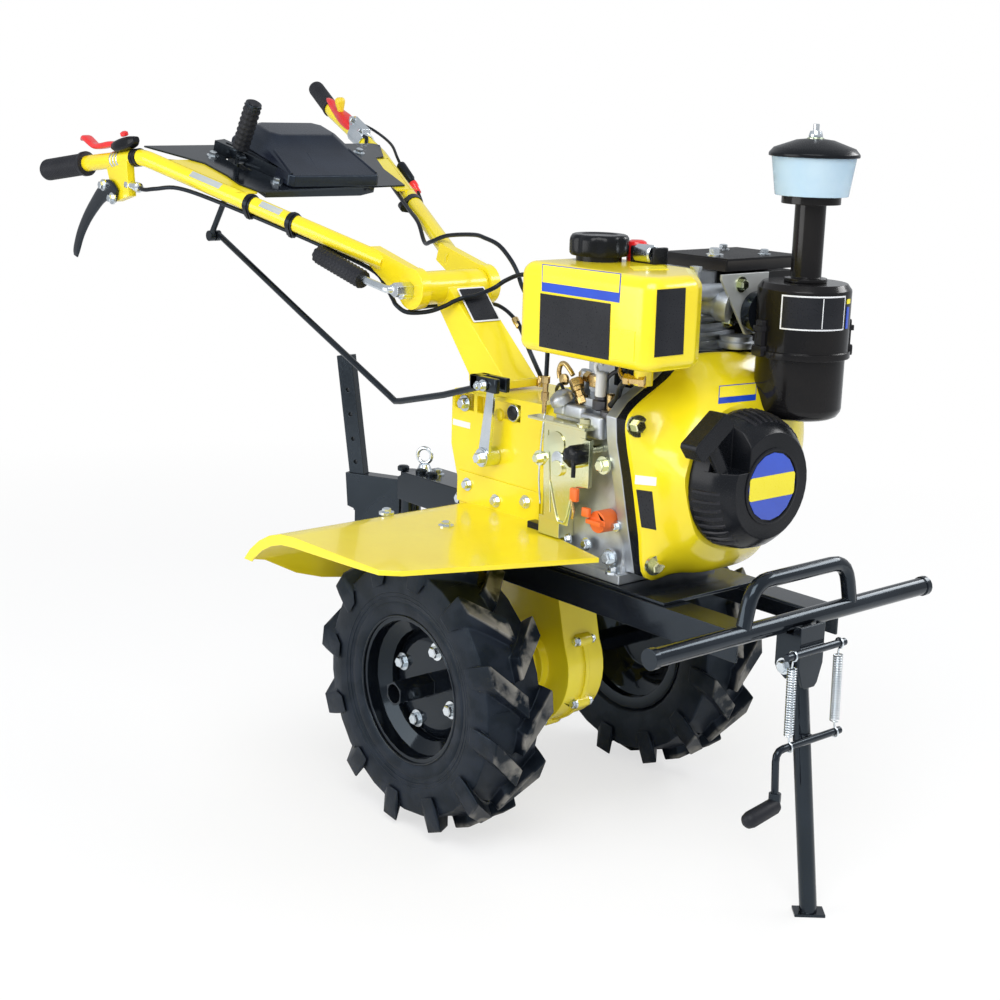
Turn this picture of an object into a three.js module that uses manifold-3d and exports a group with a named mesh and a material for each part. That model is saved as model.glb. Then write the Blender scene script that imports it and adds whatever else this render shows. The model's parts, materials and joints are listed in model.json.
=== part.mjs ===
// Inter-row cultivator: a walking diesel tiller on two lugged tyres with a folding front stand.
// Millimetres, +X forward, +Y to the machine's left, +Z up. The pieces are drawn from the wheel
// axle's middle at ground level, and the finished group is moved so that its box's bottom centre
// is the origin.
import * as THREE from 'three';
import { mergeVertices } from 'three/addons/utils/BufferGeometryUtils.js';
import Module from 'manifold-3d';

const wasm = await Module();
wasm.setup();

// ---------------------------------------------------------------- driving dimensions
const GAP = 0.3;                  // between pieces that touch
const PIN_GAP = 1;                // round a turning shaft or pin

const TYRE_R = 207;               // over the lugs
const CROWN_R = 189;              // carcass between the lugs
const TYRE_HALF = 51;             // half width over the sidewalls
const LUG_HALF = 54;              // half width over the lugs
const LUGS = 12;                  // on each side of a tyre
const LUG_TURN = 7;               // degrees the pattern stands turned
const ROUND_SIDES = 30;           // of the tyre and the rim
const BEAD_R = 103;
const FLANGE_R = 117;
const RIM_HALF = 43;
const TRACK = 424;                // between the tyres' middle planes
const SHEET = 4;                  // rim and disc metal
const AXLE_R = 13;                // hexagon, across corners
const HUB_R = 18;
const HUB_END = 280;
const AXLE_END = 262;

const RAIL_Y = 100;               // outer faces of the frame rails
const RAIL_TOP = 385;
const RAIL_SIZE = 40;
const RAIL_WALL = 4;
const PLATE_T = 4.4;              // engine plate on the rails
const PLATE_X = [70, 330];
const BUMPER_X = 472;
const BUMPER_Z = 387;
const BUMPER_HALF = 264;
const BUMPER_R = 12;
const GUARD_HALF = 104;            // the bow on the bumper
const GUARD_TOP = 450;
const GUARD_R = 10;

const CASE_HALF = 70;             // gearbox half width
const CASE_X = [-145, 62];
const CASE_Z = [398, 604];
const SUMP_HALF = 54;
const BELL_R = 82;
const DRIVE_HALF = 35;            // final drive half width
const DRIVE_R = 93;
const BOSS_R = 38;
const BOSS_HALF = 78;

const CRANK_Y = 3.5;
const CRANK_Z = 548;
const BLOCK_X = [96, 236];
const BLOCK_Y = [-90, 100];
const BLOCK_TOP = 702;
const HEAD_TOP = 778;
const HEAD_REAR = BLOCK_X[0] + 20;
const FLANGE_X = [BLOCK_X[1], 251]; // the block's end flange, then the seal and the fan shroud
const SEAL_X = [FLANGE_X[1] + GAP, 268.7];
const SHROUD_X = [SEAL_X[1] + GAP, 275, 300, 332, 352];
const RECOIL_X = 412;
const RECOIL_R = 91;
const RECOIL_FACE_R = 69;
const PUMP_SEAT = 606;            // the crankcase's lower near shoulder
const CYLINDER_Y = -24;

const TANK_X = [122, 366];
const TANK_Y = [-184, -28];
const TANK_Z = [700, 815];
const CAP = { x: 172, y: -87, r: 40, top: 850 };
const DRAIN = { x: 296, y: -120, r: 12, bottom: 672 };

const CLEANER = { x: 358, y: 107, r: 63, bottom: 621, top: 797 };
const NECK_Y = 84;
const INTAKE_PLATE_X = CLEANER.x - CLEANER.r - 7;   // the plate that holds the intake's neck
const STACK_R = 20;
const STACK_LENGTH = 101;
const STACK_TOP = CLEANER.top + STACK_LENGTH;
const BOWL_TOP = 956;
const LID_R = 58;

const MUFFLER_X = [112, 266];
const MUFFLER_Y = [118, 218];
const MUFFLER_Z = [668, 800];

const COLUMN_Y = [-36, 24];       // the column stands a little to the right of the middle
const PIVOT = { x: -226, z: 735, r: 25, right: 71, left: 44 };
const ARM_T = 18;
const ARM_Y = { right: PIVOT.right + GAP + ARM_T / 2, left: PIVOT.left + GAP + ARM_T / 2 };
const ARM_R = 31;
const BAR_R = 13.3;               // handlebar tube
const GRIP_R = 19;
const SLOPE = Math.atan2(120, 398);   // of the handlebar tubes
const BAR_START = { x: -300, z: 767 };
const BAR_BEND = new THREE.Vector3(-749, 240, 902);
const RIGHT_GRIP = [[-887, 258.8, 885.9], [-1009, 283.2, 866.9]];
const LEFT_GRIP = [[-926, 262, 975], [-1040, 299, 1018]];
const GRIP_OVER = 6;              // the grip's wall past the tube's end

const PANEL_T = 3;
const TRAY = { depth: 14.3, rear: 20, step: 135, front: 190, right: -122, waist: -92, left: 103 };
const STRIP_T = 4;                // yellow strips welded to the tubes under the panel
const COVER_SIDES = [-82, 100];
const COVER_FRONT = 195;
const COVER_TOP = 70;
const GATE = { rear: [13, -109], front: [149, -68], half: 12, height: 18 };

const LEVER = { x: -668, z: 906, topX: -619, topZ: 993, eyeX: -755, eyeZ: 770, y: -110, r: 5 };
const SHIFT = { y: -90, footX: -44, footZ: 513, topX: -31, topZ: 621 };
const ROD_R = 5;
const ROD_BEND = [-257, 561];

const GUARD_PLATE_T = 2.5;        // mudguard sheet
const GUARD_Z = 434;              // mudguard top face
const MUD_HALF = 400;             // to the mudguards' outer edges
const MUD_TIP = [238, 126];
const MUD_FRONT = 135;
const MUD_ARC = { x: -74, z: GUARD_Z - 155, r: 155 };   // the rolled rear
const MUD_HEM = [[60, 305], [72, 305], [190, 307], [248, 317], [297, 333], [362, 367], [420, 381]];

const HITCH_X = [-322, CASE_X[0] + 24 - GAP];
const HITCH_Z = [384, 434];
const EYE = { x: -296, z: 459, r: 12, wire: 3.2, turn: 28 };
const HINGE = { x: -330, r: 17, z: [345, 428], turn: 24 };    // the stake holder stands swung
const HOLDER_HALF = 12.5;
const STAKE = { w: 27, t: 16, topX: -122.3, topZ: 604, length: 254, lean: 7.8 };
const STAKE_HOLES = [56, 96, 136, 174];   // from its top
const STAKE_HOLE_R = 3.5;

const STAND = { x: 479, z: 333, footX: 522, footY: 4, r: 11.5 };
const CHANNEL = { rear: 459, front: 494, wall: 4.5, half: 23.5, toe: 15, top: 386, bottom: 303 };
const FOOT = { right: 20, deep: 13, t: 4, turn: 49 };
const SPRING_Y = 45;
const SPRING_R = 6.5;
const HOOK_R = 1.6;
const UPPER_ROD = { x: 505, z: 356, r: 5 };
const LOWER_ROD = { x: 508, z: 237, r: 5 };

const CABLE_R = 3.5;
const CABLE_CLIP = [[84, 98], [25, 44], [716, 741]];

const YELLOW = 0xf2d813;
const BLACK = 0x15161a;

// ---------------------------------------------------------------- shapes
function merged(geometry) {
  geometry.deleteAttribute('normal');
  geometry.deleteAttribute('uv');
  const joined = mergeVertices(geometry, 1e-4);
  const old = joined.index.array;
  const kept = [];
  for (let i = 0; i < old.length; i += 3) {
    const [a, b, c] = [old[i], old[i + 1], old[i + 2]];
    if (a !== b && b !== c && c !== a) kept.push(a, b, c);
  }
  joined.setIndex(kept);
  return joined;
}

function signedVolume(positions, index) {
  const [a, b, c] = [new THREE.Vector3(), new THREE.Vector3(), new THREE.Vector3()];
  let total = 0;
  for (let i = 0; i < index.length; i += 3) {
    a.fromArray(positions, 3 * index[i]);
    b.fromArray(positions, 3 * index[i + 1]);
    c.fromArray(positions, 3 * index[i + 2]);
    total += a.dot(b.cross(c));
  }
  return total / 6;
}

function solid(geometry) {
  const joined = merged(geometry);
  const vertProperties = new Float32Array(joined.attributes.position.array);
  const triVerts = new Uint32Array(joined.index.array);
  if (signedVolume(vertProperties, triVerts) < 0) {
    for (let i = 0; i < triVerts.length; i += 3) {
      [triVerts[i], triVerts[i + 1]] = [triVerts[i + 1], triVerts[i]];
    }
  }
  return new wasm.Manifold(new wasm.Mesh({ numProp: 3, vertProperties, triVerts }));
}

function join(...solids) {
  return solids.flat().reduce((sum, next) => sum.add(next));
}

function cut(body, ...tools) {
  return tools.flat().reduce((left, tool) => left.subtract(tool), body);
}

function polygon(points) {
  return new THREE.Shape(points.map(([a, b]) => new THREE.Vector2(a, b)));
}

const TURNS = {
  x: new THREE.Matrix4().makeBasis(new THREE.Vector3(0, 1, 0), new THREE.Vector3(0, 0, 1),
    new THREE.Vector3(1, 0, 0)),
  y: new THREE.Matrix4().makeBasis(new THREE.Vector3(1, 0, 0), new THREE.Vector3(0, 0, 1),
    new THREE.Vector3(0, -1, 0)),
  z: new THREE.Matrix4(),
};

// A flat outline pushed along one axis: x takes (y, z) points, y takes (x, z), z takes (x, y).
function prism(outline, axis, from, to, curveSegments = 8) {
  const shape = Array.isArray(outline) ? polygon(outline) : outline;
  const depth = to - from;
  const geometry = new THREE.ExtrudeGeometry(shape, { depth, bevelEnabled: false, curveSegments });
  geometry.applyMatrix4(TURNS[axis]);
  const shift = axis === 'y' ? to : from;
  geometry.translate(axis === 'x' ? shift : 0, axis === 'y' ? shift : 0, axis === 'z' ? shift : 0);
  return solid(geometry);
}

function box([x0, x1], [y0, y1], [z0, z1]) {
  const geometry = new THREE.BoxGeometry(x1 - x0, y1 - y0, z1 - z0);
  geometry.translate((x0 + x1) / 2, (y0 + y1) / 2, (z0 + z1) / 2);
  return solid(geometry);
}

function roundedRectangle([a0, a1], [b0, b1], r) {
  const shape = new THREE.Shape();
  shape.moveTo(a0 + r, b0);
  shape.lineTo(a1 - r, b0);
  shape.absarc(a1 - r, b0 + r, r, -Math.PI / 2, 0, false);
  shape.absarc(a1 - r, b1 - r, r, 0, Math.PI / 2, false);
  shape.absarc(a0 + r, b1 - r, r, Math.PI / 2, Math.PI, false);
  shape.absarc(a0 + r, b0 + r, r, Math.PI, 1.5 * Math.PI, false);
  return shape;
}

const vec = (p) => (Array.isArray(p) ? new THREE.Vector3(...p) : p.clone());

// A round bar, or a cone, between two points.
function rod(start, end, r, sides = 16, rEnd = r) {
  const [a, b] = [vec(start), vec(end)];
  const along = b.clone().sub(a);
  const geometry = new THREE.CylinderGeometry(rEnd, r, along.length(), sides);
  const turn = new THREE.Quaternion().setFromUnitVectors(new THREE.Vector3(0, 1, 0),
    along.clone().normalize());
  geometry.applyQuaternion(turn);
  geometry.translate(...a.add(b).multiplyScalar(0.5).toArray());
  return solid(geometry);
}

// A turned piece: the profile is (radius, height) along the axis through the centre.
function turned(profile, axis, centre, sides = 32) {
  const points = profile.map(([r, h]) => new THREE.Vector2(r, h));
  const geometry = new THREE.LatheGeometry(points, sides);
  if (axis === 'z') geometry.rotateX(Math.PI / 2);
  if (axis === 'x') geometry.rotateZ(-Math.PI / 2);
  geometry.translate(...centre);
  return solid(geometry);
}

// The stations of a path whose inner corners are rounded by arcs.
class BentPath extends THREE.Curve {
  constructor(points, bend, arcSteps) {
    super();
    this.stations = [points[0].clone()];
    for (let i = 1; i < points.length - 1; i += 1) {
      const back = points[i - 1].clone().sub(points[i]);
      const ahead = points[i + 1].clone().sub(points[i]);
      const half = back.angleTo(ahead) / 2;
      const reach = Math.min(bend / Math.tan(half), back.length() * 0.48, ahead.length() * 0.48);
      const from = points[i].clone().addScaledVector(back.normalize(), reach);
      const to = points[i].clone().addScaledVector(ahead.normalize(), reach);
      for (let k = 0; k <= arcSteps; k += 1) {
        const t = k / arcSteps;
        const p = from.clone().multiplyScalar((1 - t) ** 2);
        p.addScaledVector(points[i], 2 * t * (1 - t));
        this.stations.push(p.addScaledVector(to, t ** 2));
      }
    }
    this.stations.push(points[points.length - 1].clone());
  }

  getPointAt(u) {
    const place = u * (this.stations.length - 1);
    const i = Math.min(Math.floor(place), this.stations.length - 2);
    return this.stations[i].clone().lerp(this.stations[i + 1], place - i);
  }

  getTangentAt(u) {
    const i = Math.round(u * (this.stations.length - 1));
    const before = this.stations[Math.max(i - 1, 0)];
    const after = this.stations[Math.min(i + 1, this.stations.length - 1)];
    return after.clone().sub(before).normalize();
  }
}

function tube(points, r, bend = 30, sides = 12, arcSteps = 4) {
  const path = new BentPath(points.map(vec), bend, arcSteps);
  const circle = new THREE.Shape();
  circle.absarc(0, 0, r, 0, 2 * Math.PI, false);
  const geometry = new THREE.ExtrudeGeometry(circle, {
    steps: path.stations.length - 1, extrudePath: path, curveSegments: sides / 2, bevelEnabled: false,
  });
  return solid(geometry);
}

// A solid whose corners are two like rings of points.
function bridge(ringA, ringB) {
  const points = [...ringA, ...ringB].map(vec);
  const n = ringA.length;
  const index = [];
  for (let i = 0; i < n; i += 1) {
    const j = (i + 1) % n;
    index.push(i, j, n + j, i, n + j, n + i);
    if (i > 0 && i < n - 1) index.push(0, i + 1, i, n, n + i, n + i + 1);
  }
  const geometry = new THREE.BufferGeometry().setFromPoints(points);
  geometry.setIndex(index);
  return solid(geometry.toNonIndexed());
}

const machine = new THREE.Group();

function piece(name, body, color, roughness, metalness, holder = machine) {
  const out = body.getMesh();
  const geometry = new THREE.BufferGeometry();
  geometry.setAttribute('position', new THREE.BufferAttribute(out.vertProperties, 3));
  geometry.setIndex(new THREE.BufferAttribute(out.triVerts, 1));
  const mesh = new THREE.Mesh(geometry,
    new THREE.MeshStandardMaterial({ color, roughness, metalness }));
  mesh.name = name;
  holder.add(mesh);
  return mesh;
}

// ---------------------------------------------------------------- wheels
function tyreCarcass() {
  const half = [
    [BEAD_R, 28], [BEAD_R, RIM_HALF - 7], [FLANGE_R + 1, RIM_HALF - 5],
    [FLANGE_R + 5, RIM_HALF + 2], [150, TYRE_HALF], [179, 46],
  ];
  const outer = [...half, [CROWN_R, 0], ...half.slice().reverse().map(([r, h]) => [r, -h])];
  const inner = [[118, -32], [150, -42], [176, -26], [176, 26], [150, 42], [118, 32]];
  return [...outer, ...inner, outer[0]];
}

// One bar of the tread: its stations run from the middle of the tread to the sidewall.
// Columns: distance from the middle plane, angle behind the tip, inner and outer radius, half width.
const LUG_STATIONS = [
  [-3, 0, 182, TYRE_R, 4.2], [LUG_HALF - 4, 15, 168, TYRE_R - 5, 4.4],
  [LUG_HALF, 16.5, 150, 172, 3.4],
];

function lug(turn, side) {
  const rings = LUG_STATIONS.map(([y, behind, inner, outer, half]) => [
    [inner, -half - 1.5], [outer, -half], [outer, half], [inner, half + 1.5],
  ].map(([r, spread]) => {
    const angle = THREE.MathUtils.degToRad(turn + behind + spread);
    return [r * Math.sin(angle), side * y, -r * Math.cos(angle)];
  }));
  return join(rings.slice(1).map((ring, i) => bridge(rings[i], ring)));
}

function tyre() {
  const carcass = turned(tyreCarcass(), 'y', [0, 0, 0], ROUND_SIDES);
  const pitch = 360 / LUGS;
  const bars = [];
  for (const [side, phase] of [[-1, 0], [1, 0.5]]) {
    for (let i = 0; i < LUGS; i += 1) bars.push(lug((i + phase) * pitch + LUG_TURN, side));
  }
  return join(carcass, bars);
}

// The dished rim with its disc, and the hexagonal tube welded through it; +Y is outboard.
function rim() {
  const r = BEAD_R - GAP;
  const well = 84;
  const disc = 8;
  const profile = [
    [HUB_R - 4, disc], [60, disc], [72, disc - 4], [well - SHEET, disc - 12], [well - SHEET, 10],
    [r - SHEET, 22], [r - SHEET, RIM_HALF - 2], [FLANGE_R - SHEET, RIM_HALF],
    [FLANGE_R, RIM_HALF - 1], [FLANGE_R - 1, RIM_HALF - 4], [r, RIM_HALF - 5], [r, 20], [well, 8],
    [well, -16], [r, -26], [r, 5 - RIM_HALF], [FLANGE_R - 1, 4 - RIM_HALF],
    [FLANGE_R, 1 - RIM_HALF], [FLANGE_R - SHEET, -RIM_HALF], [r - SHEET, 2 - RIM_HALF],
    [r - SHEET, -28], [well - SHEET, -18], [70, disc - 8 - SHEET], [60, disc - SHEET],
    [HUB_R - 4, disc - SHEET], [HUB_R - 4, disc],
  ];
  const dish = turned(profile, 'y', [0, 0, 0], ROUND_SIDES);
  const inboard = BOSS_HALF + 6 - TRACK / 2;
  const hub = rod([0, inboard, 0], [0, HUB_END - TRACK / 2, 0], HUB_R, 6);
  const bore = rod([0, inboard - 1, 0], [0, HUB_END - TRACK / 2 + 1, 0], AXLE_R + GAP, 24);
  return cut(join(dish, hub), bore);
}

function wheels() {
  for (const [side, name] of [[1, 'left'], [-1, 'right']]) {
    const corner = new THREE.Group();
    corner.position.set(0, side * TRACK / 2, TYRE_R);
    corner.rotation.z = side > 0 ? 0 : Math.PI;
    machine.add(corner);
    const tread = tyre().rotate([0, 0, side > 0 ? 0 : 180]);
    piece(`tyre_${name}`, tread, 0x1b1c20, 0.85, 0, corner);
    piece(`rim_${name}`, rim(), BLACK, 0.3, 0.2, corner);
  }
  const shaft = rod([0, -AXLE_END, TYRE_R], [0, AXLE_END, TYRE_R], AXLE_R, 6);
  piece('axle_shaft', shaft, 0x4a4b4e, 0.5, 0.8);
}

// ---------------------------------------------------------------- gearbox and frame
function gearbox() {
  const [x0, x1] = CASE_X;
  const [z0, z1] = CASE_Z;
  const side = [
    [x0 + 24, z0], [x1 - 6, z0], [x1, z0 + 8], [x1, z1], [x0 + 6, z1 - 6], [x0, z1 - 14],
    [x0, z1 - 90], [x0 + 20, z1 - 150],
  ];
  const body = prism(side, 'y', -CASE_HALF, CASE_HALF);
  const sump = box([x0 + 40, x1 + 20], [-SUMP_HALF, SUMP_HALF], [RAIL_TOP - 45, z0 + 4]);
  const bell = rod([x1 - 5, CRANK_Y, CRANK_Z], [BLOCK_X[0] - GAP, CRANK_Y, CRANK_Z], BELL_R, 32);
  const slot = box([x0 + 7, x1 - 54], [-CASE_HALF - 1, 12 - CASE_HALF], [z1 - 34, z1 - 10]);
  const rib = box([x0 + 50, x0 + 58], [-CASE_HALF, 14 - CASE_HALF], [z1 - 35, z1 - 9]);
  const shaftEnd = rod([-9, 15 - CASE_HALF, 581], [-9, -CASE_HALF - 3, 581], 9, 20);
  return join(cut(join(body, sump, bell), slot), rib, shaftEnd);
}

function finalDrive() {
  const top = RAIL_TOP - 45 - GAP;
  const lobe = rod([0, -DRIVE_HALF, TYRE_R], [0, DRIVE_HALF, TYRE_R], DRIVE_R, 40);
  const neck = prism([[-60, top], [-DRIVE_R, TYRE_R], [DRIVE_R, TYRE_R], [60, top]], 'y',
    -DRIVE_HALF, DRIVE_HALF);
  const flange = rod([0, -4, TYRE_R], [0, 4, TYRE_R], DRIVE_R + 4, 40);
  const pad = rod([0, -48, TYRE_R], [0, 48, TYRE_R], 50, 32);
  const ears = [30, 78, 142, 205, 330].map((angle) => {
    const a = THREE.MathUtils.degToRad(angle);
    const [ex, ez] = [(DRIVE_R + 2) * Math.cos(a), TYRE_R - (DRIVE_R + 2) * Math.sin(a)];
    return rod([ex, -13, ez], [ex, 13, ez], 9, 14);
  });
  const boss = rod([0, -BOSS_HALF, TYRE_R], [0, BOSS_HALF, TYRE_R], BOSS_R, 28, BOSS_R);
  const bore = rod([0, -BOSS_HALF - 1, TYRE_R], [0, BOSS_HALF + 1, TYRE_R], AXLE_R + PIN_GAP, 24);
  return cut(join(lobe, neck, flange, pad, ears, boss), bore);
}

function rail(side) {
  const [inner, outer] = [SUMP_HALF + GAP, RAIL_Y];
  const bottom = RAIL_TOP - RAIL_SIZE;
  const angle = [
    [inner, RAIL_TOP], [inner, RAIL_TOP - RAIL_WALL], [outer - RAIL_WALL, RAIL_TOP - RAIL_WALL],
    [outer - RAIL_WALL, bottom], [outer, bottom], [outer, RAIL_TOP],
  ].map(([y, z]) => [side * y, z]);
  return prism(angle, 'x', CASE_X[0] + 60, BUMPER_X - BUMPER_R - GAP);
}

function bumper() {
  const bar = rod([BUMPER_X, -BUMPER_HALF, BUMPER_Z], [BUMPER_X, BUMPER_HALF, BUMPER_Z], BUMPER_R);
  const foot = BUMPER_Z + 4;
  const bow = tube([
    [BUMPER_X, -GUARD_HALF, foot], [BUMPER_X, -GUARD_HALF + 14, GUARD_TOP],
    [BUMPER_X, GUARD_HALF - 14, GUARD_TOP], [BUMPER_X, GUARD_HALF, foot],
  ], GUARD_R, 42, 12, 5);
  const ends = [-1, 1].map((s) => rod([BUMPER_X, s * (BUMPER_HALF - 6), BUMPER_Z],
    [BUMPER_X, s * (BUMPER_HALF + 3), BUMPER_Z], BUMPER_R + 1.5));
  return join(bar, bow, ends);
}

function chassis() {
  piece('gearbox_case', gearbox(), YELLOW, 0.35, 0.1);
  piece('final_drive_case', finalDrive(), YELLOW, 0.35, 0.1);
  piece('frame_rail_left', rail(1), BLACK, 0.35, 0.3);
  piece('frame_rail_right', rail(-1), BLACK, 0.35, 0.3);
  const [x0, x1] = PLATE_X;
  const seat = RAIL_TOP + GAP;
  const plate = box([x0 + 20, x1], [4 - RAIL_Y, RAIL_Y - 4], [seat, seat + PLATE_T]);
  piece('engine_plate', plate, BLACK, 0.4, 0.3);
  piece('front_bumper', bumper(), BLACK, 0.3, 0.3);
}

// ---------------------------------------------------------------- engine
function engineBlock() {
  const [x0, x1] = BLOCK_X;
  const [y0, y1] = BLOCK_Y;
  const bottom = RAIL_TOP + 2 * GAP + PLATE_T;
  const [near, far] = [y0 + 8, y1 - 8];
  const body = prism([[near, bottom], [near, PUMP_SEAT - 6], [near + 6, PUMP_SEAT],
    [CYLINDER_Y, PUMP_SEAT], [CYLINDER_Y, BLOCK_TOP], [far, BLOCK_TOP], [far, bottom]], 'x', x0, x1);
  const foot = box([x0 + 10, x1 + 4], [y0, y1], [bottom, bottom + 14]);
  const flange = cut(prism(SHROUD_BASE, 'x', x1 - 4, FLANGE_X[1]), mufflerRoom());
  return join(body, foot, flange);
}

function mufflerRoom() {
  return box([BLOCK_X[0], SEAL_X[1] + 1], [MUFFLER_Y[0] - 3, 240], [MUFFLER_Z[0] - 3, BLOCK_TOP + 20]);
}

function head() {
  const [x0, x1] = [HEAD_REAR, BLOCK_X[1] + 8];
  const base = BLOCK_TOP + GAP;
  const core = box([x0 + 6, x1 - 6], [-2, 96], [base, HEAD_TOP]);
  const fins = [0, 1, 2, 3].map((i) => box([x0, x1], [-8, 106], [base + i * 12, base + i * 12 + 6]));
  const cover = prism(roundedRectangle([x0 + 14, x1 - 14], [6, 88], 16), 'z', HEAD_TOP - 2,
    HEAD_TOP + 22, 4);
  return join(core, fins, cover);
}

// A solid through several like rings of points, closed by fans round each end's middle.
function loft(rings) {
  const n = rings[0].length;
  const middle = (ring) => [0, 1, 2].map((k) => ring.reduce((sum, p) => sum + p[k], 0) / n);
  const points = [...rings.flat(), middle(rings[0]), middle(rings[rings.length - 1])].map(vec);
  const [first, last] = [n * rings.length, n * rings.length + 1];
  const end = n * (rings.length - 1);
  const index = [];
  for (let i = 0; i < n; i += 1) {
    const j = (i + 1) % n;
    for (let k = 0; k < end; k += n) index.push(k + i, k + j, k + n + j, k + i, k + n + j, k + n + i);
    index.push(first, j, i, last, end + i, end + j);
  }
  const geometry = new THREE.BufferGeometry().setFromPoints(points);
  geometry.setIndex(index);
  return solid(geometry.toNonIndexed());
}

// The fan shroud's outline where it meets the block, and the lower, rounder one of its face.
const SHROUD_BASE = [
  [-73, 406], [-88, 468], [-104, 540], [-117, 590], [-120, 622], [-100, 642], [-50, 669],
  [-20, 690], [20, 699], [143, 688], [165, 668], [190, 620], [196, 590], [192, 540], [170, 480],
  [140, 440], [100, 411], [40, 405], [-20, 405],
];
const SHROUD_FACE = [
  [-60, 440], [-80, 480], [-97, 548], [-102, 580], [-97, 600], [-75, 640], [-40, 668], [-10, 680],
  [20, 684], [89, 676], [140, 662], [180, 630], [196, 590], [192, 540], [168, 480], [121, 430],
  [94, 411], [40, 407], [-12, 411],
];

function shroudSeal() {
  return cut(prism(SHROUD_BASE, 'x', ...SEAL_X), mufflerRoom());
}

function shroud() {
  const [x0, x1, x2, x3, x4] = SHROUD_X;
  const at = (x, outline) => outline.map(([y, z]) => [x, y, z]);
  const round = (share) => SHROUD_FACE.map(([y, z]) => {
    const [dy, dz] = [y - CRANK_Y, z - CRANK_Z];
    const far = Math.hypot(dy, dz);
    const scale = (RECOIL_R + 5 + share * (far - RECOIL_R - 5)) / far;
    return [CRANK_Y + dy * scale, CRANK_Z + dz * scale];
  });
  const body = loft([at(x0, SHROUD_BASE), at(x1, SHROUD_BASE), at(x2, SHROUD_FACE),
    at(x3, round(0.55)), at(x4, round(0))]);
  const { x, y, r, bottom } = CLEANER;
  return cut(body, rod([x, y, bottom - 4], [x, y, BLOCK_TOP + 20], r - 2, 28));
}

function recoil() {
  const x0 = SHROUD_X[4] + GAP;
  const depth = RECOIL_X - x0;
  const profile = [
    [0, 0], [RECOIL_R, 0], [RECOIL_R, 10], [RECOIL_R - 3, 30], [RECOIL_R - 8, depth - 16],
    [RECOIL_FACE_R + 5, depth - 5], [RECOIL_FACE_R, depth], [0, depth],
  ];
  const pocket = box([380, RECOIL_X + 8], [-100, -40], [571, 640]);
  const guide = rod([390, -62, 563], [390, -99, 620], 9, 14);
  const cover = cut(turned(profile, 'x', [x0, CRANK_Y, CRANK_Z], 36), pocket);
  return join(cover, cut(guide, starterGrip(GAP)));
}

function starterGrip(grow = 0) {
  const [a, b] = [[-127, 600], [-72, 641]];
  const half = 13 + grow;
  const length = Math.hypot(b[0] - a[0], b[1] - a[1]);
  const [ty, tz] = [(b[0] - a[0]) / length, (b[1] - a[1]) / length];
  const corner = ([y, z], along, off) => [y + ty * along - tz * off, z + tz * along + ty * off];
  const e = grow;
  return prism([corner(a, -e, -half + 4), corner(a, 4 - e, -half), corner(b, -4 + e, -half),
    corner(b, e, -half + 4), corner(b, e, half - 4), corner(b, -4 + e, half),
    corner(a, 4 - e, half), corner(a, -e, half - 4)], 'x', 376 - e, 404 + e);
}

function tank() {
  const [x0, x1] = TANK_X;
  const [y0, y1] = TANK_Y;
  const [z0, z1] = TANK_Z;
  const plan = new THREE.Shape();
  const r = 18;
  plan.moveTo(x0 + r, y0);
  plan.lineTo(x1 - r, y0);
  plan.absarc(x1 - r, y0 + r, r, -Math.PI / 2, 0, false);
  plan.lineTo(x1, y0 + 80);
  plan.lineTo(x1 - 12, y0 + 100);
  plan.lineTo(x1 - 70, y1);
  plan.lineTo(x0 + r, y1);
  plan.lineTo(x0, y1 - r);
  plan.absarc(x0 + r, y0 + r, r, Math.PI, 1.5 * Math.PI, false);
  const body = prism(plan, 'z', z0, z1, 4);
  const edge = prism(roundedRectangle([x0, x1], [z0, z1], r), 'y', y0 - 1, y1 + 1, 4);
  const across = prism(roundedRectangle([y0, y1 + 60], [z0, z1], r), 'x', x0 - 1, x1 + 1, 4);
  const { x, y, r: drainR, bottom } = DRAIN;
  const boss = rod([x, y, z0 + 4], [x, y, bottom], drainR, 20);
  const plug = rod([x, y, bottom + 1], [x, y, bottom - 8], 7, 6);
  return join(body.intersect(edge).intersect(across), boss, plug);
}

function tankCap() {
  const z0 = TANK_Z[1] + GAP;
  const { x, y, r, top } = CAP;
  const profile = [
    [0, z0], [r - 10, z0], [r - 10, z0 + 8], [r, z0 + 11], [r, top - 7], [r - 5, top], [0, top],
  ];
  return turned(profile, 'z', [x, y, 0], 24);
}

// The angle that carries the tank on the cylinder's near face.
function tankBracket() {
  const [y, z] = [CYLINDER_Y - GAP, TANK_Z[0] - GAP];
  const angle = [[y, 642], [y, z], [-150, z], [-150, z - 3], [y - 3, z - 3], [y - 3, 642]];
  return prism(angle, 'x', 150, 228);
}

function airCleaner() {
  const { x, y, r, bottom, top } = CLEANER;
  const band = bottom + 84;
  const profile = [
    [0, bottom], [r - 16, bottom], [r - 10, bottom + 3], [r - 6, bottom + 9], [r - 5, bottom + 14],
    [r - 5, band - 4],
    [r + 1, band - 4], [r + 1, band + 5], [r - 2, band + 5], [r - 2, top - 8], [r - 8, top],
    [0, top],
  ];
  const can = turned(profile, 'z', [x, y, 0], 32);
  const neck = rod([BLOCK_X[1] + 8 + GAP, NECK_Y, 752], [x - 50, NECK_Y, 752], 19, 20);
  return join(can, neck);
}

function stack() {
  const { x, y, top } = CLEANER;
  const z0 = top + GAP;
  const profile = [
    [0, z0], [STACK_R + 8, z0], [STACK_R + 8, z0 + 5], [STACK_R, z0 + 6], [STACK_R, STACK_TOP - 2],
    [38, STACK_TOP - 1], [38, STACK_TOP + 9], [0, STACK_TOP + 9],
  ];
  return turned(profile, 'z', [x, y, 0], 28);
}

function precleanerBowl() {
  const z0 = STACK_TOP + 9 + GAP;
  const profile = [[0, z0], [47, z0], [54, BOWL_TOP], [0, BOWL_TOP]];
  return turned(profile, 'z', [CLEANER.x, CLEANER.y, 0], 36);
}

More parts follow.
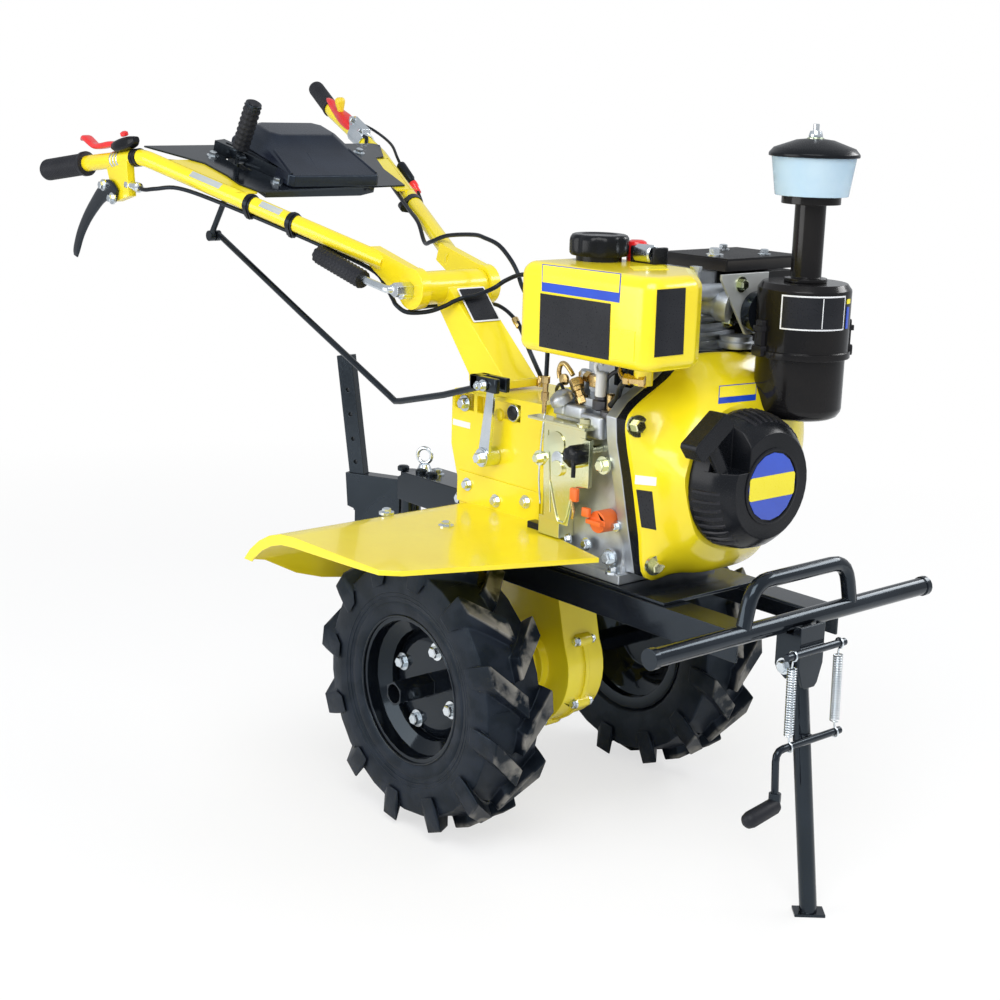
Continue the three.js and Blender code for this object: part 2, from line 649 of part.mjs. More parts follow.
function precleanerLid() {
  const z0 = BOWL_TOP + GAP;
  const profile = [
    [0, z0], [LID_R, z0], [LID_R, z0 + 4], [LID_R - 6, z0 + 11], [24, z0 + 21], [7, z0 + 23],
    [7, z0 + 30], [3, z0 + 31], [3, z0 + 39], [0, z0 + 39],
  ];
  return turned(profile, 'z', [CLEANER.x, CLEANER.y, 0], 36);
}

function muffler() {
  const [y0, y1] = MUFFLER_Y;
  const can = prism(roundedRectangle(MUFFLER_Y, MUFFLER_Z, 28), 'x', ...MUFFLER_X, 5);
  const inlet = rod([180, 106 + GAP, 740], [180, y0 + 8, 740], 18, 20);
  const outlet = rod([150, y1 - 10, 700], [150, y1 + 34, 690], 14, 20);
  return join(can, inlet, outlet);
}

function mufflerShield() {
  const z0 = 815;
  const plate = prism([[142, 60], [262, 62], [262, 214], [142, 214]], 'z', z0, z0 + 4);
  const posts = [[165, 160], [240, 160]].map(([x, y]) => rod([x, y, MUFFLER_Z[1] + GAP],
    [x, y, z0 + 1], 6, 12));
  const bolt = rod([226, 76, z0 + 1], [226, 76, z0 + 11], 7, 6);
  return join(plate, posts, bolt);
}

function intakeBracket() {
  const x = INTAKE_PLATE_X;
  const outer = [[20, 803], [112, 803], [110, 760], [97, 722], [72, 722], [20, 796]];
  const plate = prism(outer, 'x', x, x + 4);
  const clear = rod([x - 1, NECK_Y, 752], [x + 5, NECK_Y, 752], 19 + GAP, 20);
  return cut(plate, clear);
}

function governorPlate() {
  const y = -111;
  const plate = prism([[110, 457], [158, 457], [168, 512], [199, 518], [199, 582], [103, 586]], 'y',
    y, y + 3);
  const fold = prism([[187, 518], [199, 518], [199, 582], [187, 582]], 'y', y - 4, y + 3);
  const posts = [[122, 475], [186, 566], [120, 566]].map(([x, z]) => rod([x, y + 2, z],
    [x, BLOCK_Y[0] + 8 - GAP, z], 6, 12));
  const disc = rod([137, y + 1, 534], [137, y - 5, 534], 11, 18);
  const knob = rod([177, y + 1, 554], [177, y - 20, 554], 12, 14);
  const block = box([99, 140], [y + 1, BLOCK_Y[0] + 8 - GAP], [GUARD_Z + 2, 462]);
  const shelf = box([76, 189], [-116, -92], [593, 597]);
  const web = box([104, 186], [y, y + 3], [580, 595]);
  return join(plate, fold, posts, disc, knob, block, web, shelf);
}

function injectionPump() {
  const z0 = PUMP_SEAT + GAP;
  const body = box([108, 182], [-76, -32], [z0, 628]);
  const unions = [[122, 130, 662], [163, 162, 664]].map(([x0, x1, z]) => join(
    rod([x0, -60, 624], [x1, -60, z], 8, 14), rod([x0, -60, 626], [x0, -60, 636], 12, 6)));
  return join(body, unions);
}

function oilCap() {
  const y = BLOCK_Y[0] + 8 - GAP;
  const cap = rod([212, y, 474], [212, y - 26, 474], 15, 20);
  const wing = box([198, 226], [y - 34, y - 20], [471, 477]);
  return join(cap, wing);
}

function engine() {
  piece('engine_block', engineBlock(), 0x9a9c9e, 0.5, 0.7);
  piece('cylinder_head', head(), 0xa4a6a8, 0.5, 0.7);
  piece('shroud_seal', shroudSeal(), BLACK, 0.5, 0.1);
  piece('fan_shroud', shroud(), YELLOW, 0.35, 0.1);
  piece('recoil_starter', recoil(), 0x222227, 0.5, 0);
  piece('starter_grip', starterGrip(), 0x25262a, 0.6, 0);
  piece('tank_bracket', tankBracket(), BLACK, 0.5, 0.2);
  piece('fuel_tank', tank(), YELLOW, 0.3, 0.1);
  piece('fuel_cap', tankCap(), 0x1c1d20, 0.5, 0);
  piece('air_cleaner', airCleaner(), BLACK, 0.25, 0.2);
  piece('intake_stack', stack(), BLACK, 0.3, 0.2);
  piece('precleaner_bowl', precleanerBowl(), 0xdfe3ea, 0.2, 0);
  piece('precleaner_lid', precleanerLid(), BLACK, 0.4, 0);
  piece('muffler', muffler(), 0x1a1a1c, 0.7, 0.3);
  piece('muffler_shield', mufflerShield(), BLACK, 0.5, 0.3);
  piece('intake_bracket', intakeBracket(), 0xc9ccd0, 0.35, 0.8);
  piece('governor_plate', governorPlate(), 0xc9c48a, 0.35, 0.8);
  piece('injection_pump', injectionPump(), 0x8f9195, 0.45, 0.7);
  piece('oil_cap', oilCap(), 0xf0622a, 0.5, 0);
}

// ---------------------------------------------------------------- mudguards
// The rolled rear of the guard's section, some way inside its outer face.
function guardCurve(inset) {
  const { x, z, r } = MUD_ARC;
  const turns = [0, 1, 2, 3, 4, 5, 6, 7, 8].map((i) => THREE.MathUtils.degToRad(i * 10.6));
  return turns.map((a) => [x - (r - inset) * Math.sin(a), z + (r - inset) * Math.cos(a)]);
}

function guardSection(side, inset, front) {
  const outline = [[MUD_TIP[0] + 10, GUARD_Z], ...guardCurve(0), ...guardCurve(inset).reverse(),
    ...front];
  const [y0, y1] = [CASE_HALF + GAP, MUD_HALF];
  return prism(outline, 'y', side > 0 ? y0 : -y1, side > 0 ? y1 : -y0);
}

function guardPlan(side, s) {
  const [tipX, tipY] = [MUD_TIP[0] - (side > 0 ? 8 : 0), MUD_TIP[1]];
  const r = 22;
  return [
    [-400, CASE_HALF + GAP + s], [CASE_X[1] + 12, CASE_HALF + GAP + s],
    [CASE_X[1] + 22, 92 + s], [tipX - s * 1.6, tipY + s * 0.6], [tipX - s - 4, tipY + 10],
    [MUD_FRONT + 8 - s, MUD_HALF - r], [MUD_FRONT - r * 0.6 - s, MUD_HALF - s],
    [-400, MUD_HALF - s],
  ].map(([x, y]) => [x, side * y]);
}

function mudguard(side) {
  const t = GUARD_PLATE_T;
  const front = MUD_TIP[0] + 10;
  const plan = prism(guardPlan(side, 0), 'z', 250, GUARD_Z + 1);
  const sheet = guardSection(side, t, [[front, GUARD_Z - t]]).intersect(plan);
  const band = guardSection(side, 15, [[65, GUARD_Z - 10], [121, GUARD_Z - 7], [front, GUARD_Z - 7]]);
  const outboard = box([-400, 400], side > 0 ? [CASE_HALF + 26, 420] : [-420, -CASE_HALF - 26],
    [250, GUARD_Z + 2]);
  const inside = prism(guardPlan(side, t), 'z', 240, GUARD_Z + 2);
  const lip = cut(band.intersect(plan).intersect(outboard), inside);
  const [y0, y1] = [CASE_HALF + GAP, CASE_HALF + GAP + t];
  const flange = box([CASE_X[0] + 20, CASE_X[1] - 4], side > 0 ? [y0, y1] : [-y1, -y0],
    [GUARD_Z - t, GUARD_Z + 44]);
  const hem = prism([...MUD_HEM, [420, 240], [60, 240]].map(([y, z]) => [side * y, z]), 'x', -260, -90);
  return cut(join(sheet, lip, flange), hem);
}

// ---------------------------------------------------------------- hitch
const stakeLean = THREE.MathUtils.degToRad(STAKE.lean);
const stakeDirection = new THREE.Vector3(Math.sin(stakeLean), 0, -Math.cos(stakeLean));
const stakeTop = new THREE.Vector3(STAKE.topX, 0, STAKE.topZ);

// The stake and its holder are drawn from the hinge's axis and swung about it.
const swivel = new THREE.Group();
swivel.position.x = HINGE.x;
swivel.rotation.z = THREE.MathUtils.degToRad(HINGE.turn);
machine.add(swivel);

function stakeBar(grow, length) {
  const [w, t] = [STAKE.w + 2 * grow, STAKE.t + 2 * grow];
  const geometry = new THREE.BoxGeometry(w, t, length);
  geometry.rotateY(-stakeLean);
  const middle = stakeTop.clone().addScaledVector(stakeDirection, STAKE.length / 2);
  geometry.translate(...middle.toArray());
  return solid(geometry);
}

function stake() {
  const holes = STAKE_HOLES.map((down) => {
    const { x, z } = stakeTop.clone().addScaledVector(stakeDirection, down);
    return rod([x, -STAKE.t, z], [x, STAKE.t, z], STAKE_HOLE_R, 10);
  });
  return cut(stakeBar(0, STAKE.length), holes);
}

function stakeHolder() {
  const top = 413;
  const block = prism([[-115, top], [-14, top], [-14, 330], [-97, 330], [-97, 354], [-111, 358]],
    'y', -HOLDER_HALF, HOLDER_HALF);
  const knuckle = rod([0, 0, 300], [0, 0, top + 20], HINGE.r + GAP, 24);
  return cut(block, knuckle, stakeBar(PIN_GAP, 2 * STAKE.length));
}

function liftingEye() {
  const { x, z, r, wire, turn } = EYE;
  const section = [0, 1, 2, 3, 4, 5, 6, 7, 0].map((i) => {
    const a = (i * Math.PI) / 4;
    return [r + wire * Math.cos(a), wire * Math.sin(a)];
  });
  const ring = turned(section, 'y', [0, 0, 0], 18).rotate([0, 0, turn]).translate([x, 0, z]);
  const foot = rod([x, 0, HITCH_Z[1] + GAP], [x, 0, 445], 12.7, 16, 8);
  return join(ring, foot);
}

function hitch() {
  const [x0, x1] = HITCH_X;
  const block = prism([[x0, HITCH_Z[0] + 4], [x1, HITCH_Z[0]], [x1, CASE_Z[0]],
    [x1 - 2.3, HITCH_Z[1]], [x0 + 20, HITCH_Z[1]], [x0, HITCH_Z[1] - 10]], 'y', -34, 34);
  const knuckle = rod([HINGE.x, 0, HINGE.z[0]], [HINGE.x, 0, HINGE.z[1]], HINGE.r, 24);
  piece('hitch_block', join(block, knuckle), BLACK, 0.3, 0.3);
  piece('stake_holder', stakeHolder(), BLACK, 0.35, 0.3, swivel);
  piece('depth_stake', stake(), BLACK, 0.4, 0.3, swivel);
  piece('lifting_eye', liftingEye(), 0xc4c7cb, 0.35, 0.8);
}

// ---------------------------------------------------------------- column and handlebars
// The point a share of the way from a handlebar's bend to its grip.
function alongBar(side, ends, share) {
  const [a, b] = [BAR_BEND.clone(), vec(ends[0])];
  return a.lerp(b, share).multiply(new THREE.Vector3(1, side, 1));
}

function barClamp(side, ends, from, to, r = BAR_R + 3.5) {
  const band = rod(alongBar(side, ends, from), alongBar(side, ends, to), r, 16);
  const bore = rod(alongBar(side, ends, -0.1), alongBar(side, ends, 0.8), BAR_R + 2 * GAP, 16);
  return { band, bore };
}

function column() {
  const { x, z, r, right, left } = PIVOT;
  const seat = CASE_Z[1] + GAP;
  const [y0, y1] = COLUMN_Y;
  const foot = box([-146, -60], [y0 - 2, y1 + 1], [seat, seat + 12]);
  const post = prism([
    [-61, seat + 4], [-64, seat + 12], [-191, z - 6], [x, z + 20], [x - 14, z - 12], [-144, seat + 4],
  ], 'y', y0, y1);
  const head = rod([x, -right, z], [x, left, z], r, 32);
  return join(foot, post, head);
}

function handlebar(side, ends) {
  const { x, z } = PIVOT;
  const y = side > 0 ? ARM_Y.left : -ARM_Y.right;
  const start = new THREE.Vector3(BAR_START.x, y, BAR_START.z);
  const bend = BAR_BEND.clone();
  bend.y *= side;
  const [gripIn, gripOut] = ends.map(([a, b, c]) => new THREE.Vector3(a, side * b, c));
  const inside = gripOut.clone().sub(gripIn).normalize();
  const end = gripOut.clone().addScaledVector(inside, -GRIP_OVER - GAP);
  const bar = tube([start, bend, gripIn, end], BAR_R, 70, 16, 5);
  const hub = rod([x, y - ARM_T / 2, z], [x, y + ARM_T / 2, z], ARM_R, 28);
  const [dx, dz] = [Math.sin(SLOPE), Math.cos(SLOPE)];
  const [sx, sz, w] = [start.x - 30, start.z + 30 * Math.tan(SLOPE), 14];
  const arm = prism([
    [x + dx * (ARM_R - 2), z + dz * (ARM_R - 2)], [sx + dx * w, sz + dz * w], [sx - dx * w, sz - dz * w],
    [x - dx * (ARM_R - 2), z - dz * (ARM_R - 2)],
  ], 'y', y - ARM_T / 2, y + ARM_T / 2);
  const startY = Math.abs(y);
  const tubeY = (u) => BAR_BEND.y - (BAR_BEND.y - startY) * (u / alongPanel(BAR_START.x));
  const strip = panelStrip(side, tubeY).rotate([0, THREE.MathUtils.radToDeg(SLOPE), 0])
    .translate([BAR_BEND.x, 0, BAR_BEND.z]);
  return join(bar, hub, arm, strip);
}

function grip(side, ends) {
  const [a, b] = ends.map(([x, y, z]) => new THREE.Vector3(x, side * y, z));
  const along = b.clone().sub(a).normalize();
  const from = a.clone().addScaledVector(along, 14);
  const collar = from.clone().addScaledVector(along, 8);
  const body = join(rod(from, collar, GRIP_R + 3, 16), rod(from, b, GRIP_R, 16, GRIP_R - 1));
  const bore = rod(a, b.clone().addScaledVector(along, -GRIP_OVER), BAR_R + GAP, 16);
  return cut(body, bore);
}

// Places a point of the panel's own frame (along the slope rearwards, across, up off the tubes).
const panelFrame = new THREE.Group();
panelFrame.position.set(BAR_BEND.x, 0, BAR_BEND.z);
panelFrame.rotation.y = SLOPE;
machine.add(panelFrame);
const alongPanel = (x) => (x - BAR_BEND.x) / Math.cos(SLOPE);
const PANEL_SEAT = BAR_R + GAP;
const PANEL_TOP = PANEL_SEAT + PANEL_T;

function controlPanel() {
  const outline = [
    [206, -145], [188, 157], [109, 168], [52, 191], [46, 212], [-13, 246], [-23, 236],
    [-8, -236], [73, -169], [132, -161], [169, -162],
  ];
  const plate = prism(outline, 'z', PANEL_SEAT, PANEL_TOP);
  const { depth, rear, step, front, right, waist, left } = TRAY;
  const tray = prism([[front, right], [front, left - 37], [front - 14, left], [rear, left - 3],
    [rear, waist], [step, waist], [step, right]], 'z', PANEL_SEAT - depth, PANEL_SEAT + 1);
  const slotX = alongPanel(LEVER.x);
  const slot = box([slotX - 36, slotX + 26], [LEVER.y - 9, LEVER.y + 9], [0, 40]);
  panelFrame.updateMatrixWorld(true);
  const rising = panelFrame.worldToLocal(vec(LEFT_GRIP[0]));
  const tubeRoom = rod([2, BAR_BEND.y, 0], rising, BAR_R + 2 * GAP, 20);
  return cut(join(plate, tray), slot, tubeRoom);
}

// The strip that carries the panel on one tube, before the panel's frame places it.
function panelStrip(side, tubeY) {
  const [rear, front] = [50, 200];
  const outline = [[rear, tubeY(rear)], [front, tubeY(front)], [front, tubeY(front) - 27],
    [rear, tubeY(rear) - 62]].map(([u, y]) => [u, side * y]);
  return prism(outline, 'z', BAR_R - STRIP_T, BAR_R);
}

function octagon([u0, u1], [y0, y1], c, w) {
  return [[u0 + c, y0, w], [u1 - c, y0, w], [u1, y0 + c, w], [u1, y1 - c, w],
    [u1 - c, y1, w], [u0 + c, y1, w], [u0, y1 - c, w], [u0, y0 + c, w]];
}

function gateRidge(grow) {
  const [[u0, y0], [u1, y1]] = [GATE.rear, GATE.front];
  const along = new THREE.Vector2(u1 - u0, y1 - y0).normalize();
  const h = GATE.half + grow;
  const corner = ([u, y], e, side) => [u + along.x * e * grow - along.y * side * h,
    y + along.y * e * grow + along.x * side * h];
  const outline = [corner(GATE.rear, -1, -1), corner(GATE.front, 1, -1), corner(GATE.front, 1, 1),
    corner(GATE.rear, -1, 1)];
  const base = PANEL_TOP + GAP;
  return prism(outline, 'z', base - grow, base + GATE.height + grow);
}

function panelCover() {
  const base = PANEL_TOP + GAP;
  const [y0, y1] = COVER_SIDES;
  const body = loft([
    octagon([-2, COVER_FRONT], [y0, y1], 8, base),
    octagon([-2, COVER_FRONT - 2], [y0 + 1, y1 - 1], 8, 36),
    octagon([8, 112], [y0 + 8, y1 - 8], 12, 52),
    octagon([24, 92], [y0 + 24, y1 - 26], 14, COVER_TOP - 2),
    octagon([28, 88], [y0 + 28, y1 - 30], 12, COVER_TOP),
  ]);
  return cut(body, gateRidge(GAP));
}

// The raised ridge beside the gear lever, which carries the lever's pin.
function leverGate() {
  const { y, r } = LEVER;
  const w = PANEL_TOP + GAP + 10;
  const u = alongPanel(LEVER.x);
  return join(gateRidge(0), rod([u, y - r - 3, w], [u, y + 14, w], 3, 10));
}

function gearLever() {
  const { x, z, topX, topZ, eyeX, eyeZ, y, r } = LEVER;
  const shaft = tube([[eyeX, y, eyeZ], [x - 8, y, z - 26], [x, y, z], [topX + 4, y, topZ - 8]], r, 20,
    10, 2);
  const grip = rod([x + 10, y, z + 18], [topX, y, topZ], 12, 16, 13.5);
  const eye = rod([eyeX, y - 5, eyeZ], [eyeX, y + 5, eyeZ], 9, 16);
  const pin = leverPin();
  const boss = rod([pin.x, y - r - 1, pin.z], [pin.x, y + r + 1, pin.z], 8, 14);
  const hole = rod([pin.x, y - 30, pin.z], [pin.x, y + 30, pin.z], 3 + GAP, 10);
  return cut(join(shaft, boss, grip, eye), hole);
}

function leverPin() {
  const local = new THREE.Vector3(alongPanel(LEVER.x), LEVER.y, PANEL_TOP + GAP + 10);
  panelFrame.updateMatrixWorld(true);
  return panelFrame.localToWorld(local);
}

function gearRod() {
  const { y, topX, topZ } = SHIFT;
  const inner = LEVER.y + 5 + 0.8;
  const eyeY = inner + 6;
  const [bx, bz] = ROD_BEND;
  const wire = tube([
    [LEVER.eyeX + 6, eyeY, LEVER.eyeZ + 2], [bx, y, bz], [topX - 22, y, topZ - 7],
  ], ROD_R, 14, 10, 3);
  const eye = rod([LEVER.eyeX, inner, LEVER.eyeZ], [LEVER.eyeX, inner + 10, LEVER.eyeZ], 9, 16);
  const fork = box([topX - 34, topX + 24], [y - 14, y + 14], [topZ - 9, topZ + 11]);
  const slot = box([topX - 14, topX + 30], [y - 4, y + 4], [topZ - 20, topZ + 20]);
  const hole = rod([topX, y - 20, topZ], [topX, y + 20, topZ], 4 + PIN_GAP / 2, 12);
  return cut(join(wire, eye, fork), slot, hole);
}

function shiftArm() {
  const { y, footX, footZ, topX, topZ } = SHIFT;
  const face = -CASE_HALF - GAP;
  const along = new THREE.Vector3(topX - footX, 0, topZ - footZ).normalize();
  const side = new THREE.Vector3(along.z, 0, -along.x);
  const corner = (cx, cz, s, w) => [cx + side.x * s * w, cz + side.z * s * w];
  const arm = prism([corner(footX, footZ, -1, 12), corner(footX, footZ, 1, 12),
    corner(topX, topZ, 1, 7), corner(topX, topZ, -1, 7)], 'y', y - 2.5, y + 2.5);
  const boss = rod([footX, face, footZ], [footX, y - 6, footZ], 14, 20);
  const eye = rod([topX, y - 2.5, topZ], [topX, y + 2.5, topZ], 9, 16);
  const pin = rod([topX, y - 17, topZ], [topX, y + 17, topZ], 4, 12);
  return join(arm, boss, eye, pin);
}

function clampHandle() {
  const { x, z } = PIVOT;
  const y0 = -(ARM_Y.right + ARM_T / 2 + GAP);
  const sleeve = rod([x, y0, z], [x, y0 - 30, z], 11, 6);
  const out = y0 - 34;
  const wire = tube([[x, y0 - 20, z], [x - 12, out, z], [x - 64, out, z + 8], [x - 84, out, z + 14]],
    6, 10, 10, 3);
  const grip = rod([x - 74, out, z + 8], [x - 184, out - 4, z + 37], 11, 14);
  return join(sleeve, wire, grip);
}

function controls() {
  const yR = -BAR_BEND.y;
  const black = (name, body) => piece(name, body, BLACK, 0.45, 0.1);
  const blade = tube([[-800, -266, 836], [-850, -266, 824], [-905, -266, 800], [-948, -266, 768],
    [-966, -266, 732]], 8, 40, 10, 2);
  const plate = prism([[-826, 868], [-846, 862], [-840, 826], [-792, 822], [-796, 838], [-818, 848]], 'y',
    -266, -258 - GAP);
  black('clutch_lever', join(blade, plate));
  const right = barClamp(-1, RIGHT_GRIP, 0.08, 0.15);
  const housing = prism([[-752, 912], [-812, 904], [-814, 926], [-754, 938]], 'y', yR - 20, yR + 4);
  black('throttle_mount_right', cut(join(right.band, housing), right.bore));
  const lever1 = tube([[-815, yR - 10, 920], [-866, yR - 14, 918], [-900, yR - 14, 924],
    [-925, yR - 14, 916]], 6, 12, 10, 2);
  piece('throttle_lever_right', lever1, 0xd8232a, 0.4, 0);
  const left = barClamp(1, LEFT_GRIP, 0.28, 0.52);
  const base = prism([[-842, 944], [-800, 926], [-800, 948], [-842, 970]], 'y', -yR - 2, -yR + 16);
  piece('throttle_mount_left', cut(join(left.band, base), left.bore), 0xc0c4c8, 0.35, 0.8);
  const lever2 = tube([[-845.2, -yR + 7, 964], [-874, -yR + 9, 979], [-908, -yR + 12, 992]], 6, 12,
    10, 2);
  const knob = rod([-868, -yR + 8, 978], [-868, -yR + 8, 1004], 9, 12);
  piece('throttle_lever_left', join(lever2, knob), 0xd8232a, 0.4, 0);
}

// The clutch lever's bracket is welded under the right tube.
function clutchBracket() {
  const plate = prism([[-842, 884], [-772, 896], [-766, 838], [-812, 826], [-822, 838]], 'y',
    -258, -244);
  return join(plate, rod([-745, -251, 853], [-775, -251, 856], 6, 10));
}

function handlebars() {
  piece('column', column(), YELLOW, 0.35, 0.1);
  for (const [side, name, ends] of [[1, 'left', LEFT_GRIP], [-1, 'right', RIGHT_GRIP]]) {
    const bar = handlebar(side, ends);
    piece(`handlebar_${name}`, side > 0 ? bar : join(bar, clutchBracket()), YELLOW, 0.35, 0.1);
    piece(`grip_${name}`, grip(side, ends), 0x1d1f24, 0.7, 0);
  }
  piece('control_panel', controlPanel(), 0x1a1b20, 0.5, 0.1, panelFrame);
  piece('panel_cover', panelCover(), 0x1a1b20, 0.4, 0, panelFrame);
  piece('lever_gate', leverGate(), 0x1a1b20, 0.5, 0.1, panelFrame);
  piece('gear_lever', gearLever(), BLACK, 0.4, 0.2);
  piece('gear_rod', gearRod(), BLACK, 0.35, 0.3);
  piece('shift_arm', shiftArm(), 0xb9bcc0, 0.4, 0.7);
  piece('clamp_handle', clampHandle(), 0xb9bcc0, 0.4, 0.7);
  controls();
}

// ---------------------------------------------------------------- control cables
// Both cables run from the levers along the tubes, pass the pivot and go to the engine. They are
// parted at the pivot, so that the upper stretches tilt with the handlebars.
const CLUTCH_UPPER = [
  [-744.5, -251, 853], [-725, -251, 851], [-700, -245, 854], [-660, -226, 857], [-600, -187, 838],
  [-450, -128, 793], [-330, -87, 755], [-290, -86, 731], [-264, -92.5, 716.5],
];
const CLUTCH_LOWER = [
  [-250.5, -95, 709], [-235, -84, 697], [-210, -66, 702], [-190, -49, 712], [-180, -44, 719],
  [-170, -34, 725], [-168, -8, 728], [-167, 24, 737], [-156, 38, 749], [-121, 40, 761],
  [-60, 36, 763], [0, 33, 755], [60, 30, 741], [98, 30, 729], [HEAD_REAR - GAP, 30, 729],
];
const THROTTLE_UPPER = [
  [-793.5, 236.7, 936], [-782.5, 234.5, 932.5], [-772, 224, 917], [-755, 217, 904],
  [-720, 207, 893], [-660, 182, 877], [-600, 157, 859], [-500, 115.5, 829], [-440, 90.5, 811],
  [-395, 69, 784], [-363, 57, 788], [-322, 57, 801], [-256, 55, 808],
];
const THROTTLE_LOWER = [
  [-238, 53, 807], [-222, 50, 806], [-189, 50, 798], [-162, 50, 780], [-144, 50, 761],
  [-134, 50, 741], [-110, 46, 728], [-60, 42, 722], [0, 40, 721], [60, 38, 721], [92, 38, 722],
];
const GEARBOX_BRANCH = [
  [-235, -84, 697], [-246, -60, 702], [-252, -30, 703], [-252, 16, 703], [-238, 34, 702],
  [-205, 34, 704], [-176, 33, 711], [-147, 31, 706], [-121, 30, 694], [-100, 26, 678],
  [-75, 17, 655], [-58, 20, 632], [-54, 24, 618], [-54, 24, CASE_Z[1] + GAP],
];

function cables() {
  const cable = (points) => tube(points, CABLE_R, 24, 8, 1);
  piece('clutch_cable_upper', cable(CLUTCH_UPPER), BLACK, 0.45, 0);
  piece('throttle_cable_upper', cable(THROTTLE_UPPER), BLACK, 0.45, 0);
  const clip = box(...CABLE_CLIP);
  piece('control_cables', join(cable(CLUTCH_LOWER), cable(THROTTLE_LOWER), cable(GEARBOX_BRANCH),
    clip), BLACK, 0.45, 0);
}

// ---------------------------------------------------------------- front stand
// A channel under the bumper bar: its face in front of the leg, its cheeks beside it.
function standBracket() {
  const z1 = BUMPER_Z - BUMPER_R - GAP;
  const { rear, front, wall, half, toe, top, bottom } = CHANNEL;
  const { x, z, r, footX, footY } = STAND;
  const face = prism([[-half, top], [half, top], [half, bottom + 30], [toe, bottom + 5],
    [toe - 5, bottom], [5 - toe, bottom], [-toe, bottom + 5], [-half, bottom + 30]], 'x',
  front, front + wall);
  const beside = BUMPER_X + BUMPER_R + 2;
  const cheek = [[rear, z1], [rear, z - 3], [rear + 5, z - 11], [rear + 19, z - 19],
    [front + 1, bottom + 30], [front + 1, top], [beside, top], [beside, z1]];
  const cheeks = [-1, 1].map((s) => prism(cheek, 'y', s > 0 ? half - wall : -half,
    s > 0 ? half : wall - half));
  const cap = box([rear, front + 1], [-half, half], [z1 - 4, z1]);
  const weld = box([front + 1, UPPER_ROD.x], [-half, half], [UPPER_ROD.z - 3, UPPER_ROD.z + 3]);
  const upper = rod([UPPER_ROD.x, -SPRING_Y - 12, UPPER_ROD.z],
    [UPPER_ROD.x, SPRING_Y + 12, UPPER_ROD.z], UPPER_ROD.r, 12);
  const pin = rod([x, -half - 6, z], [x, half + 6, z], 5, 12);
  const slope = (footX - x) / z;
  const room = rod([x - slope * 8, 0, z + 8], [footX, footY, 0], r + PIN_GAP, 16);
  return join(cut(join(cheeks, face, cap, weld, upper), room), pin);
}

function standLeg() {
  const { x, z, footX, footY, r } = STAND;
  const slope = (footX - x) / z;
  const leg = rod([x - slope * 6, 0, z + 6], [footX - slope * 4, footY, 3], r, 16);
  const plate = box([-FOOT.deep, FOOT.deep], [-FOOT.right, FOOT.right], [0, FOOT.t])
    .rotate([0, 0, FOOT.turn - 90]).translate([footX, footY, 0]);
  const weld = box([LOWER_ROD.x - 14, LOWER_ROD.x], [-7, 7], [LOWER_ROD.z - 4, LOWER_ROD.z + 4]);
  const lower = tube([
    [LOWER_ROD.x, SPRING_Y + 12, LOWER_ROD.z], [LOWER_ROD.x, -68.5, LOWER_ROD.z],
    [LOWER_ROD.x + 3, -67, 168],
  ], LOWER_ROD.r, 14, 10, 3);
  const pedal = tube([[LOWER_ROD.x + 2.5, -67, 182], [LOWER_ROD.x + 3.5, -68, 165],
    [LOWER_ROD.x + 6, -122, 158]], 8, 12, 10, 3);
  const hole = rod([x, -40, z], [x, 40, z], 5 + PIN_GAP / 2, 14);
  return cut(join(leg, plate, weld, lower, pedal), hole);
}

function spring(side) {
  const y = side * SPRING_Y;
  const top = new THREE.Vector3(UPPER_ROD.x, y, UPPER_ROD.z);
  const low = new THREE.Vector3(LOWER_ROD.x, y, LOWER_ROD.z);
  const along = low.clone().sub(top).normalize();
  const at = (p, d) => p.clone().addScaledVector(along, d);
  const coil = rod(at(top, 16), at(low, -16), SPRING_R, 14);
  const hook = rod(at(top, UPPER_ROD.r + GAP), at(low, -LOWER_ROD.r - GAP), HOOK_R, 8);
  return join(coil, hook);
}

function stand() {
  piece('stand_bracket', standBracket(), BLACK, 0.35, 0.3);
  piece('stand_leg', standLeg(), BLACK, 0.35, 0.3);
  piece('stand_spring_left', spring(1), 0xc0c4c8, 0.35, 0.8);
  piece('stand_spring_right', spring(-1), 0xc0c4c8, 0.35, 0.8);
}

// ---------------------------------------------------------------- the whole machine
wheels();
chassis();
engine();
piece('mudguard_left', mudguard(1), YELLOW, 0.35, 0.1);
piece('mudguard_right', mudguard(-1), YELLOW, 0.35, 0.1);
hitch();
handlebars();
cables();
stand();

const cultivator = new THREE.Group();
cultivator.add(machine);
cultivator.updateMatrixWorld(true);
const extent = new THREE.Box3().setFromObject(machine);
machine.position.x = -(extent.min.x + extent.max.x) / 2;
cultivator.updateMatrixWorld(true);

export default cultivator;
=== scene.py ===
# %% [markdown]
# A walk-behind inter-row cultivator: a small diesel tiller on two lugged tyres, with a folding
# front stand, long handlebars and a rear hitch. Its solids come packed from the CAD model, each
# one on the body it moves with. This lesson dresses them: it rounds their edges, gives every
# surface a procedural finish, and adds the fasteners, springs, cables and fittings.

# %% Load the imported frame
import json
import math
import bmesh
import bpy
from mathutils import Matrix, Vector


